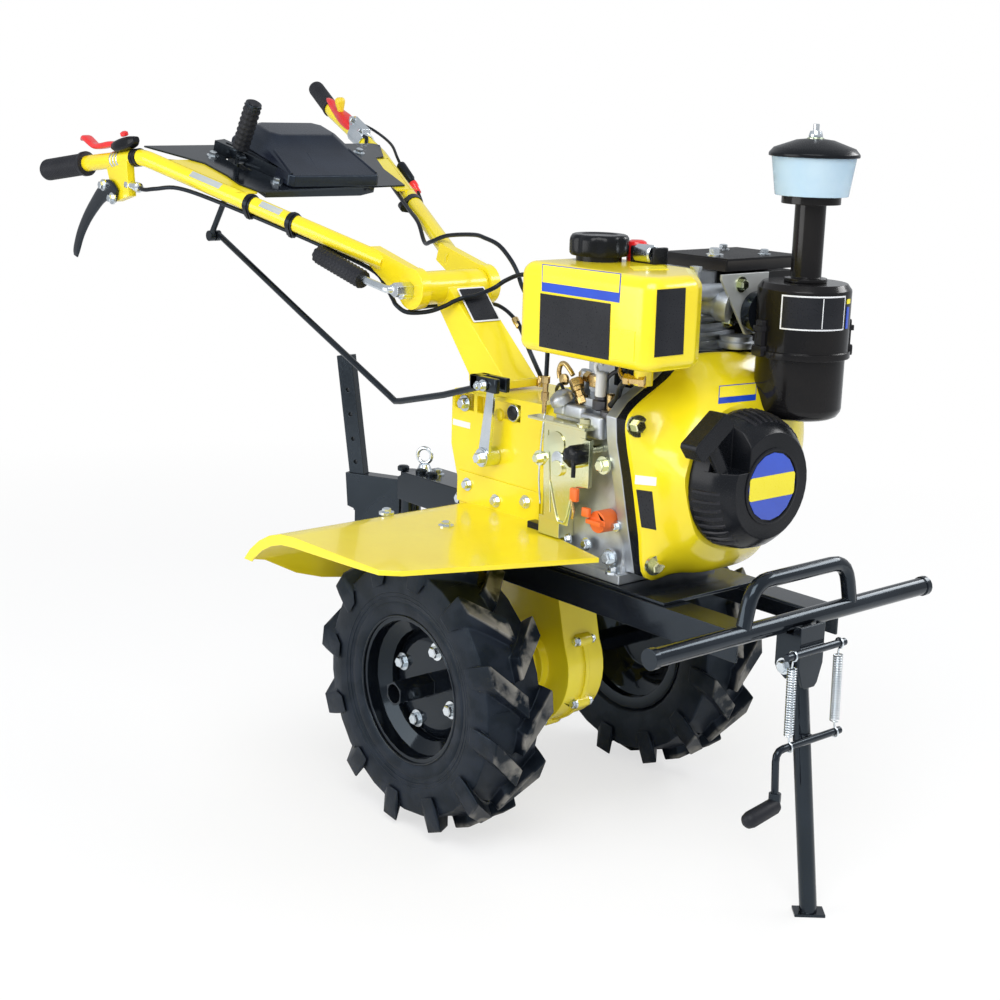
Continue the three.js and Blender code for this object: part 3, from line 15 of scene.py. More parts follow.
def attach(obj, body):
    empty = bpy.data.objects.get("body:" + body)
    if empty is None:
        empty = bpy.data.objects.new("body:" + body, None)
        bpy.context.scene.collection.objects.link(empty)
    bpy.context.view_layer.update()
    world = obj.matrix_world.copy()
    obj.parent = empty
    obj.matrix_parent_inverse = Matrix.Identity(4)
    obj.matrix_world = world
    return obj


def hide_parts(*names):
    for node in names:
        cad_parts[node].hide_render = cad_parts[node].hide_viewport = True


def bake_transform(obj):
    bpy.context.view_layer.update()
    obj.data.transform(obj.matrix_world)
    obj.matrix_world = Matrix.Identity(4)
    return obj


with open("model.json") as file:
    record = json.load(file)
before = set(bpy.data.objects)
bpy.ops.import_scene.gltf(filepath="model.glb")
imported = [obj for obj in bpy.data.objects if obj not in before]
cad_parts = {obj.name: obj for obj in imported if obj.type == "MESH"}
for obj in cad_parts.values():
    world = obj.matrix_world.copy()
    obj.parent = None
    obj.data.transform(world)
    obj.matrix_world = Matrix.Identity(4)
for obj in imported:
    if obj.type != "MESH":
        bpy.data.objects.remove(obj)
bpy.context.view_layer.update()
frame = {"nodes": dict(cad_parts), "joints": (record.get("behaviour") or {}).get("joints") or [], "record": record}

# %% [markdown]
# The machine was drawn in millimetres from the middle of the wheel axle at ground level, so the
# places in this lesson use the same measure. The axle's own joint says where that point is in
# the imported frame, and one small function turns such millimetres into metres.

# %% Millimetres from the axle
MM = 0.001
WHEEL_Z = 207      # the axle's height
axle = next(joint for joint in frame["joints"] if joint["name"] == "wheels_spin")["pos_m"]
AXLE_X, AXLE_Z = axle[0], axle[2]


def at(x, y, z):
    """The scene's place, in metres, of millimetres from below the middle of the axle."""
    return Vector((AXLE_X + x * MM, y * MM, z * MM))


print("axle at", [round(value, 4) for value in axle])

# %% [markdown]
# The camera stands to the machine's right and in front of it, at about chest height, and looks
# slightly down. A long lens keeps the near wheel from swelling. The direction is built from a
# heading, a pitch and a small roll, as a tripod's head sets them.

# %% Camera
HEADING, PITCH, ROLL = math.radians(139.10), math.radians(13.62), math.radians(1.78)
ahead = Vector((math.cos(PITCH) * math.cos(HEADING), math.cos(PITCH) * math.sin(HEADING),
                -math.sin(PITCH)))
level = ahead.cross(Vector((0, 0, 1))).normalized()
upward = level.cross(ahead)
right = level * math.cos(ROLL) + upward * math.sin(ROLL)
top = right.cross(ahead)

lens = bpy.data.cameras.new("camera")
lens.lens, lens.sensor_width = 61.36, 36.0
camera = bpy.data.objects.new("camera", lens)
camera.matrix_world = Matrix((
    (right.x, top.x, -ahead.x, 0), (right.y, top.y, -ahead.y, 0),
    (right.z, top.z, -ahead.z, 0), (0, 0, 0, 1)))
camera.location = at(1782.7, -1639.7, 1030.8)
bpy.context.scene.collection.objects.link(camera)
bpy.context.scene.camera = camera
print("camera", [round(value, 3) for value in camera.location])

# %% [markdown]
# The studio is a pale floor and a pale world with a few large, soft lamps: one high in front of
# the machine, a weaker one to the left and a strip behind that draws bright lines on the paint.
# The world shows plain white to the camera and through glass, and lights the machine more gently.

# %% Light and floor
scene = bpy.context.scene
scene.view_settings.view_transform = "Standard"


def node(tree, kind, links=(), **values):
    """A shader or geometry node with its settings, its constant inputs and its links."""
    made = tree.nodes.new(kind)
    for key, value in values.items():
        if hasattr(made, key):
            setattr(made, key, value)
        else:
            made.inputs[key.replace("_", " ")].default_value = value
    for socket, source in links:
        tree.links.new(source, made.inputs[socket])
    return made


def ramp(tree, value, start, end, **values):
    """A value's range from start to end, mapped onto 0 to 1 or onto the given To values."""
    return node(tree, "ShaderNodeMapRange", [("Value", value)], From_Min=start, From_Max=end,
                **values).outputs[0]


def studio_world():
    world = bpy.data.worlds.new("pale studio")
    world.use_nodes = True
    tree = world.node_tree
    tree.nodes.clear()
    path = node(tree, "ShaderNodeLightPath")
    seen = node(tree, "ShaderNodeMath", [(0, path.outputs["Is Camera Ray"]),
                                         (1, path.outputs["Is Transmission Ray"])],
                operation="MAXIMUM")
    soft = node(tree, "ShaderNodeBackground", Color=(0.93, 0.96, 1.0, 1), Strength=0.62)
    white = node(tree, "ShaderNodeBackground", Color=(1, 1, 1, 1), Strength=1.0)
    mix = node(tree, "ShaderNodeMixShader", [("Fac", seen.outputs[0]), (1, soft.outputs[0]),
                                             (2, white.outputs[0])])
    node(tree, "ShaderNodeOutputWorld", [("Surface", mix.outputs[0])])
    return world


def lamp(name, place, target, size, power):
    light = bpy.data.lights.new(name, "AREA")
    light.shape, light.size, light.size_y, light.energy = "RECTANGLE", size[0], size[1], power
    holder = bpy.data.objects.new(name, light)
    holder.location = place
    holder.rotation_euler = (target - place).to_track_quat("-Z", "Y").to_euler()
    scene.collection.objects.link(holder)


scene.world = studio_world()
middle = at(0, 0, 500)
lamp("key", at(1500, -1500, 2600), middle, (1.8, 1.8), 58)
lamp("fill", at(-700, -2600, 1000), middle, (2.0, 1.4), 30)
lamp("strip", at(900, 2400, 2200), middle, (2.6, 0.6), 40)

floor_mesh = bpy.data.meshes.new("floor")
floor_mesh.from_pydata([(-40, -40, 0), (40, -40, 0), (40, 40, 0), (-40, 40, 0)], [],
                       [(0, 1, 2, 3)])
floor = bpy.data.objects.new("floor", floor_mesh)
scene.collection.objects.link(floor)


def floor_finish():
    finish = bpy.data.materials.new("pale floor")
    finish.use_nodes = True
    tree = finish.node_tree
    tree.nodes.clear()
    path = node(tree, "ShaderNodeLightPath")
    place = node(tree, "ShaderNodeTexCoord").outputs["Object"]
    away = node(tree, "ShaderNodeVectorMath", [(0, place)], operation="LENGTH")
    glowing = ramp(tree, away.outputs["Value"], 0.5, 2.4, To_Min=0.66, To_Max=1.0)
    seen = node(tree, "ShaderNodeMath", [(0, path.outputs["Is Camera Ray"]),
                                         (1, glowing)], operation="MULTIPLY")
    paper = node(tree, "ShaderNodeBsdfDiffuse", Color=(0.86, 0.86, 0.86, 1))
    glow = node(tree, "ShaderNodeEmission", Color=(1, 1, 1, 1), Strength=1.0)
    mix = node(tree, "ShaderNodeMixShader", [("Fac", seen.outputs[0]), (1, paper.outputs[0]),
                                             (2, glow.outputs[0])])
    node(tree, "ShaderNodeOutputMaterial", [("Surface", mix.outputs[0])])
    return finish


floor_mesh.materials.append(floor_finish())

# %% [markdown]
# Every finish starts from the same recipe: two shades of one colour mixed by noise, a roughness
# that wanders a little, and a bump at the grain of that material. Paint adds a clear coat,
# castings a coarse skin, rubber a fine one. Paint and plastic also get a painted highlight: a
# paler tint of their colour on every convex edge. All patterns read Object coordinates, which
# are the machine's own, so a pattern keeps its size from piece to piece.

# %% The recipe for a finish
def finish(name, colour, shade, rough=(0.3, 0.4), grain=300, bump=0.1, metallic=0.0, coat=0.0,
           edge_highlight=None, patches=14, specular=0.5, sheen=(1, 1, 1)):
    made = bpy.data.materials.new(name)
    made.use_nodes = True
    tree = made.node_tree
    tree.nodes.clear()
    place = node(tree, "ShaderNodeTexCoord").outputs["Object"]
    cloud = node(tree, "ShaderNodeTexNoise", [("Vector", place)], Scale=patches, Detail=4.0)
    spread = ramp(tree, cloud.outputs["Fac"], 0.35, 0.65)
    tint = node(tree, "ShaderNodeMix", [("Factor", spread)], data_type="RGBA", A=(*colour, 1),
                B=(*shade, 1))
    colour_out = tint.outputs["Result"]
    skin = node(tree, "ShaderNodeTexNoise", [("Vector", place)], Scale=grain, Detail=3.0)
    matt = ramp(tree, skin.outputs["Fac"], 0.3, 0.7, To_Min=rough[0], To_Max=rough[1])
    # Painted highlight: convex edges, found by their pointiness, take a paler tint of the finish.
    if edge_highlight:
        edge = node(tree, "ShaderNodeNewGeometry").outputs["Pointiness"]
        edge_highlight_mask = ramp(tree, edge, 0.56, 0.66)
        lightened = node(tree, "ShaderNodeMix", [("Factor", edge_highlight_mask), ("A", colour_out)],
                    data_type="RGBA", B=(*edge_highlight, 1))
        colour_out = lightened.outputs["Result"]
    relief = node(tree, "ShaderNodeBump", [("Height", skin.outputs["Fac"])], Strength=bump,
                  Distance=0.0006)
    shader = node(
        tree, "ShaderNodeBsdfPrincipled", [("Base Color", colour_out), ("Roughness", matt),
                                           ("Normal", relief.outputs[0])], Metallic=metallic,
        Specular_IOR_Level=specular, Specular_Tint=(*sheen, 1))
    if coat:
        shader.inputs["Coat Weight"].default_value = coat
        shader.inputs["Coat Roughness"].default_value = 0.06
    node(tree, "ShaderNodeOutputMaterial", [("Surface", shader.outputs[0])])
    return made


# %% The machine's finishes
# COLD tints reflections blue. It and the blue in the black finishes' and the tyre's colours are a painted
# reflection of the studio's blue light.
COLD = (0.66, 0.84, 1.0)
yellow = finish("yellow enamel", (0.89, 0.74, 0.014), (0.84, 0.66, 0.010), (0.22, 0.27), 120,
                0.008, coat=0.35, edge_highlight=(0.94, 0.84, 0.14), patches=7)
black = finish("black enamel", (0.004, 0.005, 0.007), (0.008, 0.010, 0.014), (0.12, 0.2), 240,
               0.04, coat=0.1, edge_highlight=(0.03, 0.035, 0.045), patches=12, specular=0.4, sheen=COLD)
can_black = finish("black can enamel", (0.005, 0.005, 0.006), (0.010, 0.009, 0.009), (0.14, 0.22),
                   240, 0.02, coat=0.1, edge_highlight=(0.03, 0.03, 0.035), specular=0.2)
rim_black = finish("black wheel enamel", (0.003, 0.004, 0.006), (0.006, 0.008, 0.012),
                   (0.08, 0.14), 240, 0.02, coat=0.1, edge_highlight=(0.02, 0.025, 0.035), specular=0.3,
                   sheen=COLD)
heat_black = finish("matt heat paint", (0.006, 0.006, 0.008), (0.016, 0.016, 0.016), (0.4, 0.6),
                    700, 0.25, edge_highlight=(0.05, 0.045, 0.04), specular=0.2)
alloy = finish("sand cast alloy", (0.56, 0.59, 0.62), (0.40, 0.43, 0.47), (0.32, 0.5), 620, 0.35,
               metallic=0.85, patches=24)
zinc = finish("zinc plate", (0.76, 0.80, 0.83), (0.60, 0.66, 0.71), (0.16, 0.28), 420, 0.04,
              metallic=1.0, patches=30)
gold_zinc = finish("yellow passivated steel", (0.82, 0.78, 0.46), (0.66, 0.74, 0.52),
                   (0.12, 0.2), 300, 0.03, metallic=1.0, patches=16)
brass = finish("brass", (0.68, 0.50, 0.22), (0.50, 0.34, 0.14), (0.2, 0.32), 300, 0.05,
               metallic=1.0, patches=50)
steel = finish("oiled steel", (0.13, 0.13, 0.14), (0.08, 0.08, 0.09), (0.32, 0.46), 400, 0.15,
               metallic=0.8)
black_plastic = finish("black moulded plastic", (0.005, 0.006, 0.008), (0.010, 0.011, 0.014),
                       (0.2, 0.3), 900, 0.08, edge_highlight=(0.025, 0.025, 0.03), specular=0.2)
satin_plastic = finish("satin panel plastic", (0.008, 0.010, 0.018), (0.014, 0.018, 0.030),
                       (0.22, 0.3), 1100, 0.06, edge_highlight=(0.03, 0.035, 0.045), specular=0.4,
                       sheen=COLD)
red_plastic = finish("red plastic", (0.80, 0.018, 0.020), (0.66, 0.012, 0.014), (0.24, 0.34), 500,
                     0.05, coat=0.3)
orange_plastic = finish("orange plastic", (0.86, 0.17, 0.03), (0.74, 0.13, 0.02), (0.36, 0.48),
                        600, 0.1)
yellow_plastic = finish("yellow cap plastic", (0.90, 0.68, 0.03), (0.80, 0.58, 0.02),
                        (0.3, 0.42), 600, 0.08)
grip_rubber = finish("grip rubber", (0.009, 0.010, 0.014), (0.016, 0.017, 0.022), (0.42, 0.56),
                     1400, 0.2, specular=0.25)
cable_rubber = finish("cable sheath", (0.006, 0.006, 0.008), (0.010, 0.010, 0.013), (0.28, 0.4),
                      900, 0.06, specular=0.3, sheen=COLD)
plated_sheet = finish("plated sheet", (0.50, 0.51, 0.50), (0.42, 0.44, 0.44), (0.3, 0.4), 420,
                      0.02, metallic=0.35, patches=18)
label_dark = finish("blank dark label", (0.008, 0.009, 0.012), (0.013, 0.014, 0.018),
                    (0.26, 0.34), 500, 0.02, specular=0.3)
label_white = finish("blank white label", (0.82, 0.83, 0.84), (0.76, 0.77, 0.79), (0.3, 0.4), 500,
                     0.03)
label_foil = finish("blank foil label", (0.62, 0.66, 0.67), (0.52, 0.57, 0.58), (0.28, 0.38), 500,
                    0.02, metallic=0.4)
label_blue = finish("blank blue badge", (0.012, 0.07, 0.55), (0.010, 0.055, 0.46), (0.16, 0.24),
                    400, 0.03, coat=0.5)
label_pale = finish("blank yellow band", (0.92, 0.80, 0.04), (0.88, 0.74, 0.03), (0.2, 0.28),
                    400, 0.03, coat=0.3)
label_yellow = finish("blank yellow label", (0.92, 0.80, 0.03), (0.86, 0.74, 0.02), (0.26, 0.36),
                      500, 0.03)
print(len(bpy.data.materials), "finishes")

# %% [markdown]
# Tyre rubber is black where it is clean, with a painted blue cast that stands for the studio's
# blue reflection, and grey where it has met the ground.
# The lugs' tops are the part that wears, so the grey comes in with the distance from the axle.
# Object coordinates hold the axle's place, so a Mapping node moves the origin to the wheel.

# %% Tyre rubber
WEAR_FROM, WEAR_FULL = 0.198, 0.203    # metres from the axle


def tyre_finish():
    made = bpy.data.materials.new("tyre rubber")
    made.use_nodes = True
    tree = made.node_tree
    tree.nodes.clear()
    place = node(tree, "ShaderNodeTexCoord").outputs["Object"]
    hub = node(tree, "ShaderNodeMapping", [("Vector", place)], Location=(-AXLE_X, 0, -AXLE_Z),
               Scale=(1, 0, 1))
    reach = node(tree, "ShaderNodeVectorMath", [(0, hub.outputs[0])], operation="LENGTH")
    lightened = ramp(tree, reach.outputs["Value"], WEAR_FROM, WEAR_FULL)
    dust = node(tree, "ShaderNodeTexNoise", [("Vector", place)], Scale=34.0, Detail=6.0)
    patchy = ramp(tree, dust.outputs["Fac"], 0.42, 0.56)
    share = node(tree, "ShaderNodeMath", [(0, lightened), (1, patchy)],
                 operation="MULTIPLY")
    # The blue in these two colours is a painted reflection of the studio's blue light.
    clean = node(tree, "ShaderNodeMix", [("Factor", patchy)], data_type="RGBA",
                 A=(0.004, 0.006, 0.010, 1), B=(0.010, 0.013, 0.020, 1))
    grey = node(
        tree, "ShaderNodeMix", [("Factor", share.outputs[0]), ("A", clean.outputs["Result"])],
        data_type="RGBA", B=(0.21, 0.20, 0.18, 1))
    skin = node(tree, "ShaderNodeTexNoise", [("Vector", place)], Scale=520.0, Detail=4.0)
    matt = ramp(tree, share.outputs[0], 0.0, 1.0, To_Min=0.42, To_Max=0.8)
    relief = node(tree, "ShaderNodeBump", [("Height", skin.outputs["Fac"])], Strength=0.3,
                  Distance=0.0008)
    shader = node(
        tree, "ShaderNodeBsdfPrincipled", [("Base Color", grey.outputs["Result"]),
                                           ("Roughness", matt), ("Normal", relief.outputs[0])],
        Specular_IOR_Level=0.22, Specular_Tint=(*COLD, 1))
    node(tree, "ShaderNodeOutputMaterial", [("Surface", shader.outputs[0])])
    return made


def bowl_finish():
    made = finish("cloudy bowl", (0.62, 0.79, 0.90), (0.54, 0.73, 0.87), (0.14, 0.24), 200, 0.03,
                  patches=20)
    shader = next(n for n in made.node_tree.nodes if n.type == "BSDF_PRINCIPLED")
    shader.inputs["Transmission Weight"].default_value = 0.35
    shader.inputs["Subsurface Weight"].default_value = 0.25
    shader.inputs["Subsurface Radius"].default_value = (0.01, 0.01, 0.012)
    return made


tyre_rubber = tyre_finish()
cloudy = bowl_finish()

print("tyre rubber greys beyond", WEAR_FROM, "m from the axle")

# %% [markdown]
# A CAD solid has knife edges, and real metal has none: a pressed, cast or painted edge always
# catches a thin line of light. Each node is copied, its loose triangles are merged back into
# faces, its edges get a small bevel, and weighted normals keep the flats flat. The copy then
# stands for the node, and the node itself stays untouched for the physics.

# %% Round and dress a node
def settle(piece, skin, body="chassis"):
    """Bakes the modifiers, gives the finish, and hangs the piece on its body."""
    graph = bpy.context.evaluated_depsgraph_get()
    mesh = bpy.data.meshes.new_from_object(piece.evaluated_get(graph))
    piece.modifiers.clear()
    piece.data = mesh
    mesh.materials.clear()
    mesh.materials.append(skin)
    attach(piece, body)
    return piece


def link(name, mesh):
    piece = bpy.data.objects.new(name, mesh)
    scene.collection.objects.link(piece)
    return piece


def smoothed(piece, bevel, turn=34):
    """Rounds every edge that turns by more than the given degrees."""
    for polygon in piece.data.polygons:
        polygon.use_smooth = True
    rounding = piece.modifiers.new("rounding", "BEVEL")
    rounding.width, rounding.segments = bevel * MM, 2
    rounding.limit_method, rounding.angle_limit = "ANGLE", math.radians(turn)
    rounding.use_clamp_overlap = False
    weighting = piece.modifiers.new("weighting", "WEIGHTED_NORMAL")
    weighting.keep_sharp = True


def merged_copy(source):
    mesh = source.data.copy()
    shape = bmesh.new()
    shape.from_mesh(mesh)
    bmesh.ops.remove_doubles(shape, verts=shape.verts, dist=2e-5)
    bmesh.ops.dissolve_limit(shape, angle_limit=math.radians(0.7), verts=shape.verts,
                             edges=shape.edges)
    shape.to_mesh(mesh)
    shape.free()
    mesh.name = source.name + " dressed"
    return mesh


owner = {name: body for body, names in frame["record"]["behaviour"]["bodies"].items()
         for name in names}


def dress(name, skin, bevel):
    piece = link(name + ".dressed", merged_copy(frame["nodes"][name]))
    smoothed(piece, bevel)
    settle(piece, skin, owner[name])
    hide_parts(name)
    return piece


# Columns: node, finish, bevel in millimetres.
DRESSED = [
    ("gearbox_case", yellow, 1.6), ("final_drive_case", yellow, 1.4),
    ("frame_rail_left", black, 0.8), ("frame_rail_right", black, 0.8),
    ("engine_plate", black, 0.8), ("front_bumper", black, 0.5), ("engine_block", alloy, 1.5),
    ("cylinder_head", alloy, 0.8), ("shroud_seal", black_plastic, 1.2),
    ("recoil_starter", black_plastic, 1.0), ("starter_grip", black_plastic, 1.5),
    ("tank_bracket", black, 0.5), ("air_cleaner", can_black, 0.8),
    ("intake_stack", can_black, 0.6), ("precleaner_bowl", cloudy, 0.6),
    ("precleaner_lid", black_plastic, 0.8), ("muffler", heat_black, 1.0),
    ("muffler_shield", heat_black, 0.8), ("intake_bracket", plated_sheet, 0.6),
    ("governor_plate", gold_zinc, 0.5), ("injection_pump", alloy, 0.8),
    ("oil_cap", orange_plastic, 1.0), ("mudguard_left", yellow, 0.8),
    ("mudguard_right", yellow, 0.8), ("hitch_block", black, 1.2), ("stake_holder", black, 1.0),
    ("lifting_eye", zinc, 0.5), ("column", yellow, 1.4), ("shift_arm", zinc, 0.8),
    ("axle_shaft", steel, 0.5), ("rim_left", rim_black, 0.8), ("rim_right", rim_black, 0.8),
    ("tyre_left", tyre_rubber, 2.2), ("tyre_right", tyre_rubber, 2.2), ("stand_leg", black, 0.6),
    ("stand_bracket", black, 0.8), ("handlebar_left", yellow, 0.8),
    ("handlebar_right", yellow, 0.8), ("control_panel", black, 0.5),
    ("panel_cover", satin_plastic, 2.2), ("lever_gate", black, 1.0), ("gear_lever", black, 0.6),
    ("clamp_handle", zinc, 0.6), ("throttle_mount_left", zinc, 0.6), ("depth_stake", black, 0.8),
]
dressed = {name: dress(name, skin, bevel) for name, skin, bevel in DRESSED}
print(len(dressed), "nodes dressed,", sum(len(p.data.polygons) for p in dressed.values()), "faces")

# %% [markdown]
# Cables, pipes and bent wire are one idea: a circle swept along a route. The route's few chosen
# points are joined by a Catmull-Rom curve, which passes through each of them, and the circle is
# carried along without twisting, so the tube stays round through every bend.

# %% Sweep a tube along a route
def span(a, b, c, d, steps):
    """Catmull-Rom points from b up to c, with a before them and d after."""
    return [0.5 * (2 * b + (c - a) * t + (2 * a - 5 * b + 4 * c - d) * t * t
                   + (3 * b - a - 3 * c + d) * t ** 3) for t in (k / steps for k in range(steps))]


def through(points, steps):
    """A smooth open curve through the given points."""
    padded = [points[0] * 2 - points[1], *points, points[-1] * 2 - points[-2]]
    route = []
    for near in zip(padded, padded[1:], padded[2:], padded[3:]):
        route += span(*near, steps)
    return route + [points[-1]]


def circle(centre, side, other, radius, sides):
    """Points round a centre, in the plane of two unit directions."""
    turns = [2 * math.pi * k / sides for k in range(sides)]
    return [centre + (side * math.cos(a) + other * math.sin(a)) * radius for a in turns]


def wall(shape, rows):
    """Faces between neighbouring rows of vertices, each row closed on itself."""
    for low, high in zip(rows, rows[1:]):
        for k in range(len(low)):
            n = (k + 1) % len(low)
            shape.faces.new((low[k], low[n], high[n], high[k]))


def tube(shape, rings):
    """Adds a closed solid through rings of points to a bmesh."""
    rows = [[shape.verts.new(point) for point in ring] for ring in rings]
    wall(shape, rows)
    shape.faces.new(list(reversed(rows[0])))
    shape.faces.new(rows[-1])


def skinned(name, rings, turn=50):
    """A closed mesh through like rings of scene points."""
    shape = bmesh.new()
    tube(shape, rings)
    return from_shape(name, shape, turn)


def sweep(route, radius, sides):
    """Rings of a round tube along a route."""
    tangents = [(route[min(i + 1, len(route) - 1)] - route[max(i - 1, 0)]).normalized()
                for i in range(len(route))]
    side = tangents[0].orthogonal().normalized()
    rings = []
    for place, along in zip(route, tangents):
        side = (side - along * side.dot(along)).normalized()
        rings.append(circle(place, side, along.cross(side), radius, sides))
    return rings


def from_shape(name, shape, turn=50):
    """A linked mesh object from a bmesh, smooth up to the given turn between faces."""
    bmesh.ops.recalc_face_normals(shape, faces=shape.faces)
    mesh = bpy.data.meshes.new(name)
    shape.to_mesh(mesh)
    shape.free()
    for polygon in mesh.polygons:
        polygon.use_smooth = True
    mesh.set_sharp_from_angle(angle=math.radians(turn))
    return link(name, mesh)


def wire(name, points, radius, skin, body="chassis", sides=12, steps=6):
    route = through([at(*point) for point in points], steps)
    return settle(skinned(name, sweep(route, radius * MM, sides)), skin, body)


# %% [markdown]
# The tank and the fan shroud are pressed sheet, so every edge is a wide, soft turn. The tank's
# plan is a polygon with its own radius at each corner, stacked in layers that draw in towards
# the top and the bottom. The shroud keeps the CAD's outlines, but closed Catmull-Rom curves run
# round each outline and from one to the next, so no facet is left.

# %% Tank and fan shroud
def rounded_plan(corners, radii, inset, steps=9):
    """The corners' polygon moved in by the inset, each corner then rounded."""
    count = len(corners)
    moved = []
    for i in range(count):
        before, here, after = (Vector(corners[k % count]) for k in (i - 1, i, i + 1))
        u, v = (here - before).normalized(), (after - here).normalized()
        turn = u.x * v.y - u.y * v.x
        spot = here + (v - u) * (inset / turn)
        reach = max(radii[i] - inset, 0.4) * math.tan(math.acos(max(-1, min(1, u.dot(v)))) / 2)
        moved.append((spot, u, v, reach))
    outline = []
    for spot, u, v, reach in moved:
        start, end = spot - u * reach, spot + v * reach
        for k in range(steps):
            t = k / (steps - 1)
            weight = math.cos(math.acos(max(-1, min(1, u.dot(v)))) / 2)
            a, b, c = (1 - t) ** 2, 2 * t * (1 - t) * weight, t ** 2
            outline.append((start * a + spot * b + end * c) / (a + b + c))
    return outline


def stacked(name, plan, radii, low, high, edges, steps, corner_steps=9, turn=50):
    """A plan drawn up from low to high, with its lower and upper edges rounded."""
    turns = [math.radians(90 * k / steps) for k in range(steps + 1)]
    layers = [(edges[0] * (1 - math.sin(a)), low + edges[0] * (1 - math.cos(a))) for a in turns]
    layers += [(edges[1] * (1 - math.cos(a)), high - edges[1] * (1 - math.sin(a))) for a in turns]
    return skinned(name, [[at(p.x, p.y, z) for p in rounded_plan(plan, radii, inset, corner_steps)]
                          for inset, z in layers], turn)


TANK_PLAN = [(122, -184), (366, -184), (366, -104), (354, -84), (296, -28), (122, -28)]
TANK_RADII = [20, 26, 14, 10, 22, 20]
tank = stacked("pressed_tank", TANK_PLAN, TANK_RADII, 700, 815, (13, 18), 8)
settle(tank, yellow)
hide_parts("fuel_tank")

SHROUD_BASE = [
    (-73, 406), (-88, 468), (-104, 540), (-117, 590), (-120, 622), (-100, 642), (-50, 669),
    (-20, 690), (20, 699), (143, 688), (165, 668), (190, 620), (196, 590), (192, 540), (170, 480),
    (140, 440), (100, 411), (40, 405), (-20, 405),
]
SHROUD_FACE = [
    (-60, 440), (-80, 480), (-97, 548), (-102, 580), (-97, 600), (-75, 640), (-40, 668),
    (-10, 680), (20, 684), (89, 676), (140, 662), (180, 630), (196, 590), (192, 540), (168, 480),
    (121, 430), (94, 411), (40, 407), (-12, 411),
]
CRANK = (3.5, 548)      # the recoil's middle: y, z
RECOIL_ROOT = 96


def drawn_in(share):
    """The face's outline, part of the way to the recoil's circle."""
    points = []
    for y, z in SHROUD_FACE:
        dy, dz = y - CRANK[0], z - CRANK[1]
        far = math.hypot(dy, dz)
        scale = (RECOIL_ROOT + share * (far - RECOIL_ROOT)) / far
        points.append((CRANK[0] + dy * scale, CRANK[1] + dz * scale))
    return points


def closed_curve(points, steps=5):
    count, curve = len(points), []
    for i in range(count):
        curve += span(*(Vector(points[(i + k) % count]) for k in (-1, 0, 1, 2)), steps)
    return curve


outlines = [(275, SHROUD_BASE), (300, SHROUD_FACE), (332, drawn_in(0.55)), (352, drawn_in(0.0))]
curves = [[Vector((x, p[0], p[1])) for p in closed_curve(points)] for x, points in outlines]
across = [through(list(line), 6) for line in zip(*curves)]
rings = [[at(269.0, p.y, p.z) for p in curves[0]], [at(273.6, p.y, p.z) for p in curves[0]]]
rings += [[at(*line[k]) for line in across] for k in range(len(across[0]))]
shroud = skinned("pressed_shroud", rings, 42)
settle(shroud, yellow)
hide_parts("fan_shroud")
print("tank", len(tank.data.polygons), "shroud", len(shroud.data.polygons), "faces")

# %% [markdown]
# Round fittings are turned on a lathe in the workshop, and here too: a profile of radius and
# distance along the axis is spun into rings, and a flat face closes each end.

# %% Turn a profile
def turned(profile, base, axis, sides):
    """Rings round an axis, one for each (radius, distance along) of the profile."""
    along = Vector(axis).normalized()
    side = along.orthogonal().normalized()
    return [circle(at(*base) + along * far * MM, side, along.cross(side), radius * MM, sides)
            for radius, far in profile]


def lathe(name, profile, base, axis, skin, body="chassis", sides=40, turn=40):
    return settle(skinned(name, turned(profile, base, axis, sides), turn), skin, body)


# %% [markdown]
# Nameplates and labels are thin sheets with rounded corners. They are blank here. Each one is
# drawn in the plane of the surface that it lies on, half a millimetre proud, so it has a real
# edge that catches light.

# %% Lay a plate on a surface
def plate(name, centre, across, up, size, skin, body="chassis", corner=2.0,
          thick=0.5, sink=0.2):
    u, v = Vector(across).normalized(), Vector(up).normalized()
    out = u.cross(v)
    v = out.cross(u)
    half_w, half_h = size[0] / 2, size[1] / 2
    shape = bmesh.new()
    outline = []
    for turn, (cu, cv) in enumerate(((1, 1), (-1, 1), (-1, -1), (1, -1))):
        for step in range(5):
            a = math.radians(90 * turn + 22.5 * step)
            outline.append(((cu * (half_w - corner) + corner * math.cos(a)),
                            (cv * (half_h - corner) + corner * math.sin(a))))
    place = at(*centre)
    low = [shape.verts.new(place + (u * a + v * b - out * sink) * MM) for a, b in outline]
    high = [shape.verts.new(place + (u * a + v * b + out * thick) * MM) for a, b in outline]
    shape.faces.new(list(reversed(low)))
    shape.faces.new(high)
    wall(shape, [low, high])
    piece = from_shape(name, shape, 30)
    return settle(piece, skin, body)


# %% [markdown]
# Bolts are the clearest case for Geometry Nodes: one hexagon head on its washer, repeated on
# every seat. A seat is a loose point that carries the way it faces and the bolt's size as
# attributes. The tree makes one unit bolt, turns and scales a copy on each seat, then realizes
# the copies, because the export drops instances.

# %% Grow fasteners on seats
def socket(tree, label, kind, value=None, way="INPUT"):
    made = tree.interface.new_socket(label, in_out=way, socket_type=kind)
    if value is not None:
        made.default_value = value
    return made


def on_seats(tree, given, unit, *more):
    """Ends a tree: the unit on every seat, turned the way that seat faces, with its finish."""
    facing = node(tree, "GeometryNodeInputNamedAttribute", data_type="FLOAT_VECTOR",
                  Name="facing")
    aim = node(tree, "FunctionNodeAlignRotationToVector",
               [("Vector", facing.outputs["Attribute"])], axis="Z")
    copies = node(tree, "GeometryNodeInstanceOnPoints",
                  [("Points", given.outputs["Seats"]), ("Instance", unit.outputs[0]),
                   ("Rotation", aim.outputs[0]), *more])
    real = node(tree, "GeometryNodeRealizeInstances", [("Geometry", copies.outputs[0])])
    finished = node(tree, "GeometryNodeSetMaterial",
                    [("Geometry", real.outputs[0]), ("Material", given.outputs["Finish"])])
    node(tree, "NodeGroupOutput", [(0, finished.outputs[0])])
    return tree


